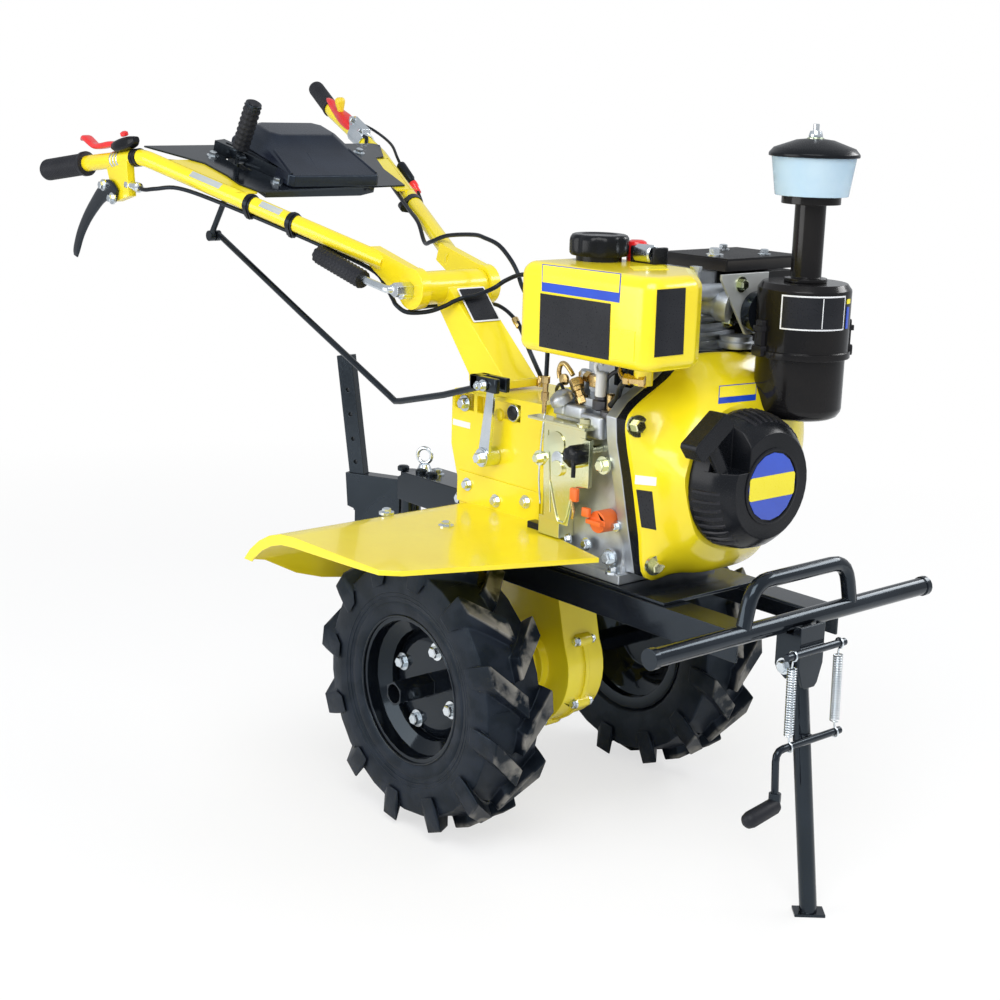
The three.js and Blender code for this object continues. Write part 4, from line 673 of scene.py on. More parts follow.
def bolt_tree():
    tree = bpy.data.node_groups.new("bolts on seats", "GeometryNodeTree")
    socket(tree, "Seats", "NodeSocketGeometry")
    socket(tree, "Sides", "NodeSocketInt", 6)
    socket(tree, "Head height", "NodeSocketFloat", 0.9)
    socket(tree, "Washer reach", "NodeSocketFloat", 1.5)
    socket(tree, "Finish", "NodeSocketMaterial")
    socket(tree, "Bolts", "NodeSocketGeometry", way="OUTPUT")
    given = node(tree, "NodeGroupInput")
    washer = node(tree, "GeometryNodeMeshCylinder", [("Radius", given.outputs["Washer reach"])],
                  Vertices=24, Depth=0.5)
    head = node(tree, "GeometryNodeMeshCylinder", [("Vertices", given.outputs["Sides"]),
                                                   ("Depth", given.outputs["Head height"])],
                Radius=1.0)
    crown = node(tree, "GeometryNodeMeshCone", [("Vertices", given.outputs["Sides"])],
                 Radius_Top=0.80, Radius_Bottom=1.0, Depth=0.16)
    half = node(tree, "ShaderNodeMath", [(0, given.outputs["Head height"])],
                operation="MULTIPLY_ADD")
    half.inputs[1].default_value, half.inputs[2].default_value = 0.5, 0.24
    peak = node(tree, "ShaderNodeMath", [(0, given.outputs["Head height"])], operation="ADD")
    peak.inputs[1].default_value = 0.24
    lift_head = node(tree, "ShaderNodeCombineXYZ", [("Z", half.outputs[0])])
    lift_crown = node(tree, "ShaderNodeCombineXYZ", [("Z", peak.outputs[0])])
    raised = node(tree, "GeometryNodeTransform", [("Geometry", head.outputs["Mesh"]),
                                                  ("Translation", lift_head.outputs[0])])
    topped = node(tree, "GeometryNodeTransform", [("Geometry", crown.outputs["Mesh"]),
                                                  ("Translation", lift_crown.outputs[0])])
    bolt = node(tree, "GeometryNodeJoinGeometry")
    for part in (washer.outputs["Mesh"], raised.outputs[0], topped.outputs[0]):
        tree.links.new(part, bolt.inputs[0])
    size = node(tree, "GeometryNodeInputNamedAttribute", data_type="FLOAT", Name="size")
    return on_seats(tree, given, bolt, ("Scale", size.outputs["Attribute"]))


def grown(name, tree, mesh, values, skin, body, turn=30):
    """Runs a tree on a mesh with its inputs set by identifier, and keeps the plain result."""
    piece = link(name, mesh)
    growth = piece.modifiers.new("growth", "NODES")
    growth.node_group = tree
    names = {item.name: item.identifier for item in tree.interface.items_tree
             if item.item_type == "SOCKET" and item.in_out == "INPUT"}
    for label, value in values.items():
        growth[names[label]] = value
    settle(piece, skin, body)
    for polygon in piece.data.polygons:
        polygon.use_smooth = True
    piece.data.set_sharp_from_angle(angle=math.radians(turn))
    return piece


BOLTS = bolt_tree()


def fasteners(name, seats, skin, body="chassis", head=0.9, washer=1.5):
    """Seats are (place, facing, radius across corners), all in the machine's millimetres."""
    mesh = bpy.data.meshes.new(name)
    mesh.from_pydata([at(*place) for place, _, _ in seats], [], [])
    mesh.attributes.new("facing", "FLOAT_VECTOR", "POINT")
    mesh.attributes.new("size", "FLOAT", "POINT")
    for i, (_, way, radius) in enumerate(seats):
        mesh.attributes["facing"].data[i].vector = Vector(way).normalized()
        mesh.attributes["size"].data[i].value = radius * MM
    return grown(name, BOLTS, mesh, {"Head height": head, "Washer reach": washer, "Finish": skin},
                 skin, body)


RIGHT, LEFT, FRONT, UP = (0, -1, 0), (0, 1, 0), (1, 0, 0), (0, 0, 1)


def rim_bolts(side):
    return [((59 * math.sin(math.radians(20 + 90 * i)), side * 220,
              WHEEL_Z + 59 * math.cos(math.radians(20 + 90 * i))), (0, side, 0), 8.5)
            for i in range(4)]


fasteners("rim_bolts", rim_bolts(-1) + rim_bolts(1), zinc, "wheels")
fasteners("far_shroud_bolts", [((275, 150, 456), FRONT, 6.5), ((275, 168, 640), FRONT, 6.5)],
          gold_zinc, washer=1.6)
fasteners("guard_bolts", [((x, side * 72.8, z), (0, side, 0), 6.5) for side in (-1, 1)
                          for x, z in ((-100, 460), (-35, 448), (30, 460))], zinc)
fasteners("guard_top_bolts", [((x, side * y, 434), UP, 6.5) for side in (-1, 1)
                              for x, y in ((-110, 214), (-4, 190))], zinc, head=0.7, washer=1.7)
fasteners("foot_bolts", [((x, -87.5, 404.5), UP, 6.5) for x in (116, 224)]
          + [((x, 92, 404.5), UP, 6.5) for x in (116, 224)], zinc)
fasteners("clevis_bolts", [((-31, -107, 621), RIGHT, 5.5), ((-46, -104, 618), RIGHT, 4.5),
                           ((-44, -96, 513), RIGHT, 8)], zinc)
fasteners("hitch_bolts", [((-160, -34, 422), RIGHT, 8), ((-262, 0, 434), UP, 7)], zinc)
fasteners("stand_bolts", [((479, -29, 333), RIGHT, 8), ((479, 29, 333), LEFT, 8)], zinc, head=0.55,
          washer=1.35)
fasteners("shield_bolt", [((226, 76, 820), UP, 8), ((165, 160, 819), UP, 6),
                          ((240, 160, 819), UP, 6)], zinc)
fasteners("bracket_bolts", [((292, 57.3, 789), FRONT, 7), ((292, 91, 733), FRONT, 7),
                            ((268, 62, 738), FRONT, 6.5)], gold_zinc)
fasteners("case_bolts", [((98 * math.cos(math.radians(a)), side * 13.5,
                           WHEEL_Z - 95 * math.sin(math.radians(a))), (0, side, 0),
                          6) for side in (-1, 1) for a in (30, 78, 142, 205, 330)], zinc, head=0.7,
          washer=1.25)
print("fasteners grown")

# %% [markdown]
# The control cables are held all the way: each leaves its lever, runs along a handlebar tube,
# passes the pivot and ends at the engine or the gearbox. The routes are the CAD's own points.
# Each cable is one smooth tube that crosses the pivot.

# %% Control cables
CLUTCH_ROUTE = [
    (-744.5, -251, 853), (-725, -251, 851), (-700, -245, 854), (-660, -226, 857),
    (-600, -187, 838), (-450, -128, 793), (-330, -87, 755), (-290, -86, 731),
    (-264, -92.5, 716.5), (-250.5, -95, 708), (-235, -86, 699), (-210, -66, 702),
    (-190, -50, 712), (-180, -43, 719), (-170, -32, 725), (-168, -8, 728), (-167, 24, 737),
    (-156, 38, 749), (-121, 40, 761), (-60, 36, 763), (0, 33, 755), (60, 30, 741), (98, 30, 730),
    (115.7, 30, 729),
]
THROTTLE_ROUTE = [
    (-793.5, 236.7, 936), (-782.5, 234.5, 932), (-772, 225, 917), (-755, 217, 904),
    (-720, 207, 893), (-660, 182, 877), (-600, 157, 859), (-500, 115.5, 829), (-440, 90.5, 811),
    (-395, 69, 784), (-363, 57, 788), (-322, 57, 801), (-256, 55, 808), (-222, 50, 806),
    (-189, 50, 798), (-162, 50, 780), (-144, 50, 761), (-132, 50, 741), (-110, 46, 728),
    (-60, 42, 722), (0, 40, 721), (60, 38, 721), (92, 38, 722),
]
BRANCH_ROUTE = [
    (-238, -84, 699), (-246, -60, 702), (-252, -30, 703), (-252, 16, 703), (-238, 32, 702),
    (-205, 34, 704), (-176, 33, 711), (-147, 31, 706), (-121, 30, 694),
]
HOSE_ROUTE = [(-121, 30, 694), (-104, 27, 680), (-76, 18, 656), (-60, 20, 632), (-55, 24, 618),
              (-55, 24, 606)]
CABLE_R = 3.4


def cable(name, route, start, end, *nodes):
    piece = skinned(name, sweep(through([at(*point) for point in route], 6), CABLE_R * MM, 14))
    piece.data.materials.append(cable_rubber)
    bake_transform(piece)
    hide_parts(*nodes)
    length = sum((at(*b) - at(*a)).length for a, b in zip(route, route[1:]))
    print(name, "about", round(length, 2), "m")


cable("clutch_cable", CLUTCH_ROUTE, (-262, -90, 735), (-212, -70, 735), "clutch_cable_upper",
      "control_cables")
cable("throttle_cable", THROTTLE_ROUTE, (-320, 55, 790), (-180, 50, 790), "throttle_cable_upper",
      "control_cables")
wire("gearbox_cable", BRANCH_ROUTE, 3.0, cable_rubber)
wire("gearbox_hose", HOSE_ROUTE, 3.5, cable_rubber)
lathe("cable_union", [(3.8, 0), (5.2, 1), (5.2, 9), (4.2, 10), (4.2, 17), (3.6, 18)],
      (-125, 30.4, 696), (16, -3, -14), brass, sides=12)
lathe("hose_ferrule", [(6, 0), (6, 10), (4.4, 12), (4.4, 16)], (-55, 24, 604.2), UP, brass,
      sides=12)


def strap(name, place, axis, width, tube_reach, reach, offset):
    """A clamp round a tube and the cable beside it; offset is (across, up) to the cable."""
    along = Vector(axis).normalized()
    across = along.cross(Vector(UP)).normalized()
    up = across.cross(along)
    low, high = [], []
    for k in range(48):
        a = 2 * math.pi * k / 48
        way = (math.cos(a), math.sin(a))
        gain = offset[0] * way[0] + offset[1] * way[1] + reach - tube_reach
        centre, far = (offset, reach) if gain > 0 else ((0, 0), tube_reach)
        spot = (across * (centre[0] + far * way[0]) + up * (centre[1] + far * way[1])) * MM
        low.append(at(*place) + spot - along * (width / 2 * MM))
        high.append(at(*place) + spot + along * (width / 2 * MM))
    piece = skinned(name, [low, high], 40)
    return settle(piece, cable_rubber, "handlebars")


def right_tube(x):
    return (x, -80.3 + (x + 300) * 0.3557, 767 - (x + 300) * 0.3007)


def left_tube(x):
    return (x, 53.3 - (x + 300) * 0.4158, 767 - (x + 300) * 0.3007)


RIGHT_AXIS, LEFT_AXIS = (-1, -0.3557, 0.3007), (-1, 0.4158, 0.3007)
for index, x in enumerate((-541, -463)):
    strap(f"cable_strap_{index}", right_tube(x), RIGHT_AXIS, 13, 14.6, 5.4, (3, -18.5))
    strap(f"cable_strap_rib_{index}", right_tube(x), RIGHT_AXIS, 5, 16.2, 7, (3, -18.5))
strap("cable_strap_left", left_tube(-526), LEFT_AXIS, 16, 14.8, 6.4, (-19, -6))
lathe("throttle_sleeve", [(5, 0), (8, 3), (8.6, 8), (8.6, 40), (6.6, 44), (6.6, 50)],
      (-686, 238, 892), (54, 0, -45), cable_rubber, "handlebars", sides=24)
lathe("throttle_sleeve_end", [(7.4, 0), (7.4, 9), (5.4, 12), (4.6, 24)], (-648, 238, 860),
      (54, 0, -45), red_plastic, "handlebars", sides=24)
wire("throttle_sleeve_cable", [(-842, 262, 958), (-800, 268, 944), (-740, 258, 924),
                               (-700, 242, 903), (-684, 238, 890)], 2.6, cable_rubber,
     "handlebars")
wire("throttle_sleeve_lead", [(-634, 238, 849), (-600, 222, 830), (-560, 188, 820),
                              (-530, 160, 818), (-500, 140, 818)], 2.6, cable_rubber, "handlebars")

# %% [markdown]
# A stand spring is a close-wound coil with a hook at each end. A Spiral node gives the wire's
# path and Curve to Mesh its thickness; one coil is copied to both seats. Its hooks are bent wire
# round the two rods, made by the sweep above.

# %% Stand springs
def spring_tree():
    tree = bpy.data.node_groups.new("coils on seats", "GeometryNodeTree")
    socket(tree, "Seats", "NodeSocketGeometry")
    socket(tree, "Turns", "NodeSocketFloat", 30.0)
    socket(tree, "Coil radius", "NodeSocketFloat", 0.005)
    socket(tree, "Wire radius", "NodeSocketFloat", 0.0013)
    socket(tree, "Length", "NodeSocketFloat", 0.09)
    socket(tree, "Finish", "NodeSocketMaterial")
    socket(tree, "Coils", "NodeSocketGeometry", way="OUTPUT")
    given = node(tree, "NodeGroupInput")
    path = node(tree, "GeometryNodeCurveSpiral",
                [("Rotations", given.outputs["Turns"]),
                 ("Start Radius", given.outputs["Coil radius"]),
                 ("End Radius", given.outputs["Coil radius"]),
                 ("Height", given.outputs["Length"])], Resolution=14)
    round_wire = node(tree, "GeometryNodeCurvePrimitiveCircle",
                      [("Radius", given.outputs["Wire radius"])], Resolution=8)
    coil = node(tree, "GeometryNodeCurveToMesh", [("Curve", path.outputs[0]),
                                                  ("Profile Curve", round_wire.outputs[0])],
                Fill_Caps=True)
    return on_seats(tree, given, coil)


SPRING_TOP, SPRING_LOW, SPRING_SIDE = (505, 356), (508, 237), 45
hang = Vector((SPRING_TOP[0] - SPRING_LOW[0], 0, SPRING_TOP[1] - SPRING_LOW[1]))
seats = bpy.data.meshes.new("spring seats")
seats.from_pydata([at(SPRING_LOW[0], y, SPRING_LOW[1]) + hang.normalized() * 0.015
                   for y in (-SPRING_SIDE, SPRING_SIDE)], [], [])
seats.attributes.new("facing", "FLOAT_VECTOR", "POINT")
for i in range(2):
    seats.attributes["facing"].data[i].vector = hang.normalized()
coils = grown("spring_coils", spring_tree(), seats, {"Turns": 27.0, "Coil radius": 5.6 * MM,
                                                     "Wire radius": 1.0 * MM,
                                                     "Length": hang.length * MM - 0.030,
                                                     "Finish": zinc}, zinc, "stand_springs",
              turn=60)
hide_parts("stand_spring_left", "stand_spring_right")


def hook(name, rod_at, y, sign):
    """The wire from the coil's end up to a rod and three quarters round it."""
    x, z = rod_at
    turns = [math.radians(a) for a in range(-80, 200, 35)]
    loop = [(x + 6.5 * math.cos(a), y + 1.5 * k / len(turns), z + sign * 6.5 * math.sin(a))
            for k, a in enumerate(turns)]
    wire(name, [(x, y, z - sign * 16), (x + 0.4, y, z - sign * 10), *loop], 1.25, zinc,
         "stand_springs", sides=8, steps=3)


for side, y in (("right", -SPRING_SIDE), ("left", SPRING_SIDE)):
    hook(f"spring_hook_top_{side}", SPRING_TOP, y, 1)
    hook(f"spring_hook_low_{side}", SPRING_LOW, y, -1)
print("springs", len(coils.data.polygons), "faces")

# %% [markdown]
# The grips are rubber sleeves with a flange against the thumb and fine rings along the hand. The
# gear lever's handle has square pads instead. Both are turned shapes; the pads come from a
# radius that also steps round the handle.

# %% Grips and the lever's handle
def ribbed_grip(name, inner, outer, radius, flange, replaced):
    along = Vector(outer) - Vector(inner)
    length = along.length
    profile = [(radius + 0.3, 14), (radius + flange, 15), (radius + flange, 21), (radius, 24)]
    reach = 27.0
    while reach < length - 10:
        profile += [(radius - 0.9, reach), (radius, reach + 1.2), (radius, reach + 3.2)]
        reach += 4.4
    profile += [(radius - 0.4, length - 5), (radius - 2.4, length - 1.5), (radius - 6, length)]
    grip = lathe(name, profile, inner, along, grip_rubber, "handlebars", turn=60)
    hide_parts(replaced)


ribbed_grip("right_grip", (-887, -258.8, 885.9), (-1009, -283.2, 866.9), 18.4, 2.4, "grip_right")
ribbed_grip("left_grip", (-926, 262, 975), (-1040, 299, 1018), 15.2, 0.8, "grip_left")


def padded_handle(name, low, high, radius, skin, body, pads=10, rows=9):
    start, along = at(*low), at(*high) - at(*low)
    axis = along.normalized()
    side = axis.orthogonal().normalized()
    other = axis.cross(side)
    rings = []
    steps = rows * 4
    for row in range(steps + 1):
        ring = []
        crown = max(0.0, (row - steps + 3) * 1.6)
        for k in range(pads * 4):
            raised = row % 4 in (1, 2) and k % 4 in (1, 2)
            reach = (radius - (0.0 if raised else 1.3) - crown) * MM
            a = 2 * math.pi * k / (pads * 4)
            ring.append(start + along * (row / steps)
                        + (side * math.cos(a) + other * math.sin(a)) * reach)
        rings.append(ring)
    return settle(skinned(name, rings, 35), skin, body)


padded_handle("lever_handle", (-660, -110, 921), (-618, -110, 995), 14.6, grip_rubber,
              "handlebars")
padded_handle("clamp_grip", (-298, -123.6, 743), (-412, -127.8, 772.4), 14.8, grip_rubber,
              "handlebars", rows=14)
print("grips made")

# %% [markdown]
# The fuel cap is a moulded disc with finger hollows round its rim. Its radius follows a wave
# round the cap, which a turned profile can't give, so its rings are drawn one by one.

# %% Fuel cap
def lobed_cap(name, centre, radius, low, high, lobes, skin):
    rings = []
    count = lobes * 8
    for share, depth, z in ((0.93, 0.0, low), (0.99, 0.5, low + 3), (1.0, 1.0, low + 7),
                            (1.0, 1.0, high - 9), (0.985, 0.9, high - 5), (0.93, 0.5, high - 1.6),
                            (0.86, 0.0, high - 0.4), (0.60, 0.0, high - 0.4),
                            (0.57, 0.0, high - 1.6), (0.1, 0.0, high - 1.2)):
        ring = []
        for k in range(count):
            a = 2 * math.pi * k / count
            wave = max(0.0, math.cos(a * lobes)) ** 0.7 * 2.6 * depth
            reach = radius * share - wave
            ring.append(at(centre[0] + reach * math.cos(a), centre[1] + reach * math.sin(a), z))
        rings.append(ring)
    return settle(skinned(name, rings), skin)


cap = lobed_cap("fuel_filler_cap", (172, -87), 39.5, 822, 849.5, 8, black_plastic)
lathe("filler_neck", [(30, 0), (30, 9)], (172, -87, 814.5), UP, black_plastic)
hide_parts("fuel_cap")

# %% [markdown]
# Blank nameplates mark the places where such a machine carries its plates. They keep their
# colours and edges and carry no words.

# %% Labels on the engine and the column
plate("recoil_disc", (412, *CRANK), (0, 1, 0), (0, 0, 1), (88, 88), label_blue,
      corner=43.9, thick=0.9)
plate("recoil_band", (412.8, *CRANK), (0, 1, 0), (0, 0, 1), (86, 30), label_yellow, corner=4,
      thick=0.5)
lathe("recoil_ring", [(46, -0.3), (46, 1.4), (48, 1.8), (50, 1.4), (50, -0.3)], (412, *CRANK),
      FRONT, black_plastic, sides=64)
column_up = (Vector((-188, 0, 737)) - Vector((-146, 0, 691))).normalized()
plate("column_plate", (-167, -5, 714), (0, 1, 0), column_up, (52, 62), label_white, thick=0.6)
plate("column_plate_face", (-166.6, -5, 714.4), (0, 1, 0), column_up, (47, 57), label_dark,
      thick=0.5)
print("plates laid")

# %% [markdown]
# Most labels lie on curved sheet. Such a label is a small grid between four corners, and each of
# its points is carried along a line of sight until it meets the surface. A thin closed sheet is
# laid there, so the label follows the curve under it.

# %% Labels on curved sheet
def between(quad, u, v):
    """A place on a quadrilateral, from its first corner along and across."""
    a, b, c, d = quad
    return (a * (1 - u) + b * u) * (1 - v) + (d * (1 - u) + c * u) * v


def laid(name, target, corners, skin, lift=0.45, cells=10):
    """corners run round the label in the machine's millimetres, near the target's surface."""
    eye = camera.location
    quad = [at(*corner) for corner in corners]
    shape = bmesh.new()
    top, low = [], []
    for i in range(cells + 1):
        for k in range(cells + 1):
            spot = between(quad, i / cells, k / cells)
            way = (spot - eye).normalized()
            hit, place, normal, _ = target.ray_cast(spot - way * 0.2, way)
            if not hit:
                shape.free()
                print(name, "finds no surface")
                return None
            top.append(shape.verts.new(place + normal * lift * MM))
            low.append(shape.verts.new(place - normal * 0.3 * MM))
    row = cells + 1
    for i in range(cells):
        for k in range(cells):
            n = i * row + k
            shape.faces.new((top[n], top[n + row], top[n + row + 1], top[n + 1]))
            shape.faces.new((low[n], low[n + 1], low[n + row + 1], low[n + row]))
    forth, back = range(cells), range(cells, 0, -1)
    rim = ([*forth] + [i * row + cells for i in forth]
           + [cells * row + k for k in back] + [i * row for i in back])
    for n, m in zip(rim, rim[1:] + rim[:1]):
        shape.faces.new((top[n], top[m], low[m], low[n]))
    return settle(from_shape(name, shape, 40), skin)


def inner(corners, u, v):
    """The same quadrilateral drawn in from each side."""
    quad = [Vector(corner) for corner in corners]
    return [between(quad, u[i], v[k]) for i, k in ((0, 0), (1, 0), (1, 1), (0, 1))]


BAND = [(170, -184, 814), (313, -184, 816), (312, -184, 781), (171, -184, 780)]
laid("tank_band", tank, BAND, label_blue, lift=0.4)
laid("tank_band_face", tank, inner(BAND, (0.012, 0.988), (0.04, 0.66)), label_pale, lift=0.8)
laid("tank_dark_label", tank, [(169, -184, 777), (297, -184, 778), (298, -184, 709),
                               (170, -184, 709)], label_dark, lift=0.8)
laid("tank_small_label", tank, [(302, -184, 747), (341, -184, 749), (341, -184, 713),
                                (302, -184, 712)], label_yellow, lift=0.8)
laid("tank_front_label", tank, [(366, -176, 802), (366, -127, 802), (366, -125, 721),
                                (366, -175, 721)], label_dark, lift=0.8)
laid("tank_top_label", tank, [(118, -118, 815), (134, -76, 815), (152, -122, 815),
                              (140, -162, 815)], label_dark, lift=0.6)
laid("tank_top_sticker", tank, [(262, -60, 815), (296, -84, 815), (282, -132, 815),
                                (250, -108, 815)], label_yellow, lift=0.6)
laid("shroud_plate", shroud, [(269, -98, 548), (307, -98, 552), (307, -98, 541), (269, -98, 536)],
     label_white)
laid("shroud_label", shroud, [(262, -88, 526), (291, -88, 529), (302, -88, 480), (275, -88, 478)],
     label_dark)
BADGE = [(300, 18, 659), (300, 92, 657), (300, 92, 633), (300, 18, 635)]
laid("shroud_badge", shroud, BADGE, label_blue, lift=0.4)
laid("shroud_badge_face", shroud, inner(BADGE, (0.02, 0.98), (0.06, 0.66)), label_pale, lift=0.7)
laid("recoil_strip", dressed["recoil_starter"], [(395, -98, 537), (395, -77, 526), (395, -76, 458),
                                                 (395, -94, 466)], label_yellow, lift=0.8)
plate("gearbox_label", (-121, -70, 547), (1, 0, 0), (0, 0, 1), (40, 9), label_white, corner=1)


def round_plate(name, centre, radius, from_turn, to_turn, low, high, skin, lift=0.6):
    """A label bent round a can, between two azimuths in degrees."""
    shape = bmesh.new()
    steps = 20
    rings = []
    for reach, z in ((radius - 0.4, low), (radius + lift, low), (radius + lift, high),
                     (radius - 0.4, high)):
        ring = []
        for k in range(steps + 1):
            a = math.radians(from_turn + (to_turn - from_turn) * k / steps)
            ring.append(shape.verts.new(at(centre[0] + reach * math.cos(a),
                                           centre[1] + reach * math.sin(a), z)))
        rings.append(ring)
    for k in range(4):
        a, b = rings[k], rings[(k + 1) % 4]
        for n in range(steps):
            shape.faces.new((a[n], a[n + 1], b[n + 1], b[n]))
    for end in (0, steps):
        shape.faces.new([ring[end] for ring in rings])
    return settle(from_shape(name, shape, 40), skin)


CAN, CAN_R = (358, 107), 61     # the air cleaner's middle, x and y, and its radius
round_plate("can_plate", CAN, CAN_R, -78, 7, 741, 785, label_white, lift=0.6)
round_plate("can_plate_face", CAN, CAN_R, -76, 5, 743, 783, label_dark, lift=1.0)
round_plate("can_plate_line", CAN, CAN_R, -27.6, -26.6, 744, 782, label_white,
            lift=1.2)
round_plate("can_notice", CAN, CAN_R, 12, 21, 774, 780, label_yellow, lift=0.7)
round_plate("can_notice_blue", CAN, CAN_R, 13, 19, 742, 770, label_blue,
            lift=0.7)
for index, turn in enumerate((-107, 62, 150)):
    a = math.radians(turn)
    spot = (CAN[0] + 62 * math.cos(a), CAN[1] + 62 * math.sin(a))
    plate(f"can_clip_{index}", (*spot, 726), (-math.sin(a), math.cos(a), 0), UP, (15, 46),
          can_black, corner=3, thick=4, sink=3)
    plate(f"can_clip_lip_{index}", (*spot, 738), (-math.sin(a), math.cos(a), 0), UP, (18, 7),
          can_black, corner=1, thick=7, sink=2)
    plate(f"can_clip_foot_{index}", (*spot, 709), (-math.sin(a), math.cos(a), 0), UP, (22, 14),
          can_black, corner=3, thick=6, sink=3)
print("labels laid")

# %% [markdown]
# Small fittings stand on the tank and the pump: a red tap and its clip, unions and loops of
# brass, the injector's pipe, the governor's rod and spring links on their plated bracket. They
# carry no load in the model and belong to the engine, so they ride the chassis.

# %% Tank tap, pump and governor
def block(name, x, y, z, radius, skin, body="chassis", edge=1.6):
    """A box with rounded corners and edges, between the given pairs of millimetres."""
    plan = [(x[0], y[0]), (x[1], y[0]), (x[1], y[1]), (x[0], y[1])]
    piece = stacked(name, plan, [radius] * 4, *z, (edge, edge), 3, 6, 45)
    return settle(piece, skin, body)


lathe("tank_tap", [(13, -2), (13.5, 3), (13.5, 21), (12, 25), (8, 27)], (196, -42, 815), UP,
      red_plastic, sides=32)
block("tank_tap_ear", (186, 214), (-48, -36), (815, 838), 4, red_plastic)
block("tank_clip_base", (200, 246), (-58, -34), (814, 824), 4, black_plastic)
lathe("tank_clip_drum", [(10, 0), (12, 2), (12, 27), (10, 29)], (208.5, -52, 827), (1, 0, 0), zinc,
      sides=28)
block("tank_clip_cheek_a", (199, 208), (-59, -33), (814, 836), 5, black_plastic)
block("tank_clip_cheek_b", (238, 247), (-59, -33), (814, 836), 5, black_plastic)
lathe("tank_drain_boss", [(15, 8), (14, 2), (12.4, -2), (12.2, -28)], (296, -120, 700), UP, yellow,
      sides=32)
lathe("tank_drain_union", [(7, 0), (8.6, 1), (8.6, 9), (6, 10), (6, 22), (7.6, 23), (7.6, 30),
                           (6, 31)], (306, -124, 678), (-1, -0.4, 0), brass, sides=6)
wire("fuel_hose", [(262, -120, 702), (262, -118, 684), (252, -110, 668), (236, -100, 658),
                   (222, -92, 640), (205, -86, 628)], 4.2, cable_rubber)
wire("fuel_pipe_low", [(281, -134, 678), (268, -128, 678), (255, -120, 684), (250, -112, 700)],
     3.6, brass)
wire("brass_loop", [(90, -72, 646), (88, -72, 656), (92, -72, 666), (100, -72, 667),
                    (110, -72, 660), (116, -72, 654)], 3.4, brass)
lathe("brass_body_low", [(8, 0), (9.5, 1.5), (9.5, 10), (7, 11.5), (7, 19), (9, 20.5), (9, 28),
                         (6, 30), (6, 37)], (141, -74, 618), (-22, 0, 36), brass, sides=6)
lathe("brass_body_nut", [(8, 0), (9.8, 1.5), (9.8, 11), (8, 12.5)], (129, -74, 640), (-22, 0, 36),
      brass, sides=6)
lathe("brass_cross_pipe", [(6, 0), (6, 10), (8.2, 11), (8.2, 19), (5.5, 20), (5.5, 30)],
      (122, -62, 657), (27, 0, -6), brass, sides=6)
lathe("banjo_ring", [(3, 0), (8, 0.8), (8, 5.2), (3, 6)], (101, -77, 646), (0, 1, 0), brass,
      sides=24)
block("brass_elbow", (146, 164), (-72, -54), (643, 659), 4, brass)
lathe("white_spring", [(6.4, 0), (7.4, 1.5), (7.4, 30), (6, 33), (4, 34)], (181, -82, 636),
      (1, 0, 30), label_white, sides=24)
wire("white_loop", [(176, -84, 666), (172, -84, 676), (178, -84, 684), (186, -84, 680)], 3,
     label_white)
lathe("delivery_nut", [(9, 0), (11, 1.5), (11, 13), (8, 15), (8, 24)], (176, -76, 616), UP, steel,
      sides=6)
lathe("delivery_head", [(13, 0), (14, 2), (14, 12), (12, 14)], (198, -78, 606), UP, steel,
      sides=30)
lathe("delivery_stem", [(6, 0), (6, 22), (4, 24)], (198, -78, 618), UP, brass, sides=20)
block("pump_step_a", (96, 122), (-90, -66), (600, 624), 6, alloy, edge=3)
block("pump_step_b", (118, 160), (-92, -60), (600, 618), 8, alloy, edge=3)
lathe("pump_dome", [(17, 0), (17, 8), (14, 13), (7, 16)], (112, -84, 618), (-0.3, -0.5, 1), alloy,
      sides=36)
block("lug_right", (158, 202), (-98, -84), (581, 612), 6, alloy, edge=3)
wire("injector_pipe", [(176, -76, 634), (178, -76, 650), (190, -68, 668), (206, -50, 676),
                       (218, -30, 692), (222, -14, 716), (214, -4, 738)], 2.8, steel)
wire("leak_pipe", [(112, -84, 634), (100, -80, 640), (84, -72, 628), (82, -60, 612)], 2.4,
     cable_rubber)
wire("throttle_rod", [(104.8, -110, 700), (104.6, -110, 681), (104, -110, 655)], 3.1, cable_rubber)
lathe("throttle_rod_end", [(4.4, 0), (5.6, 1), (5.6, 10), (4, 11), (4, 22), (5.4, 23), (5.4, 34),
                           (3, 35), (3, 52)], (104, -110, 655), (-0.04, 0, -1), brass, sides=6)
wire("throttle_link", [(104, -110, 606), (103, -112, 580), (101, -113, 548), (100, -113, 512),
                       (103, -112, 478)], 1.2, zinc, sides=8)
lathe("governor_disc", [(2, 0), (11, 0.5), (11, 2.4), (4, 3)], (136, -111.5, 546), (0, -1, 0),
      zinc, sides=36)
lathe("governor_plate_disc", [(2, 0), (17, 0.4), (17, 1.6), (4, 2)], (130, -111, 566), (0, -1, 0),
      gold_zinc, sides=36)


def wing_nut(name, centre, radius, depth, skin):
    """A moulded knob with six lobes."""
    rings = []
    for share, far in ((0.72, 0), (1.0, 1.5), (1.0, depth - 2), (0.9, depth), (0.3, depth + 1)):
        ring = []
        for k in range(48):
            a = 2 * math.pi * k / 48
            reach = radius * share * (1 - 0.13 * (0.5 + 0.5 * math.cos(6 * a)))
            ring.append(at(centre[0] + reach * math.cos(a), centre[1] - far,
                           centre[2] + reach * math.sin(a)))
        rings.append(ring)
    return settle(skinned(name, rings), skin)


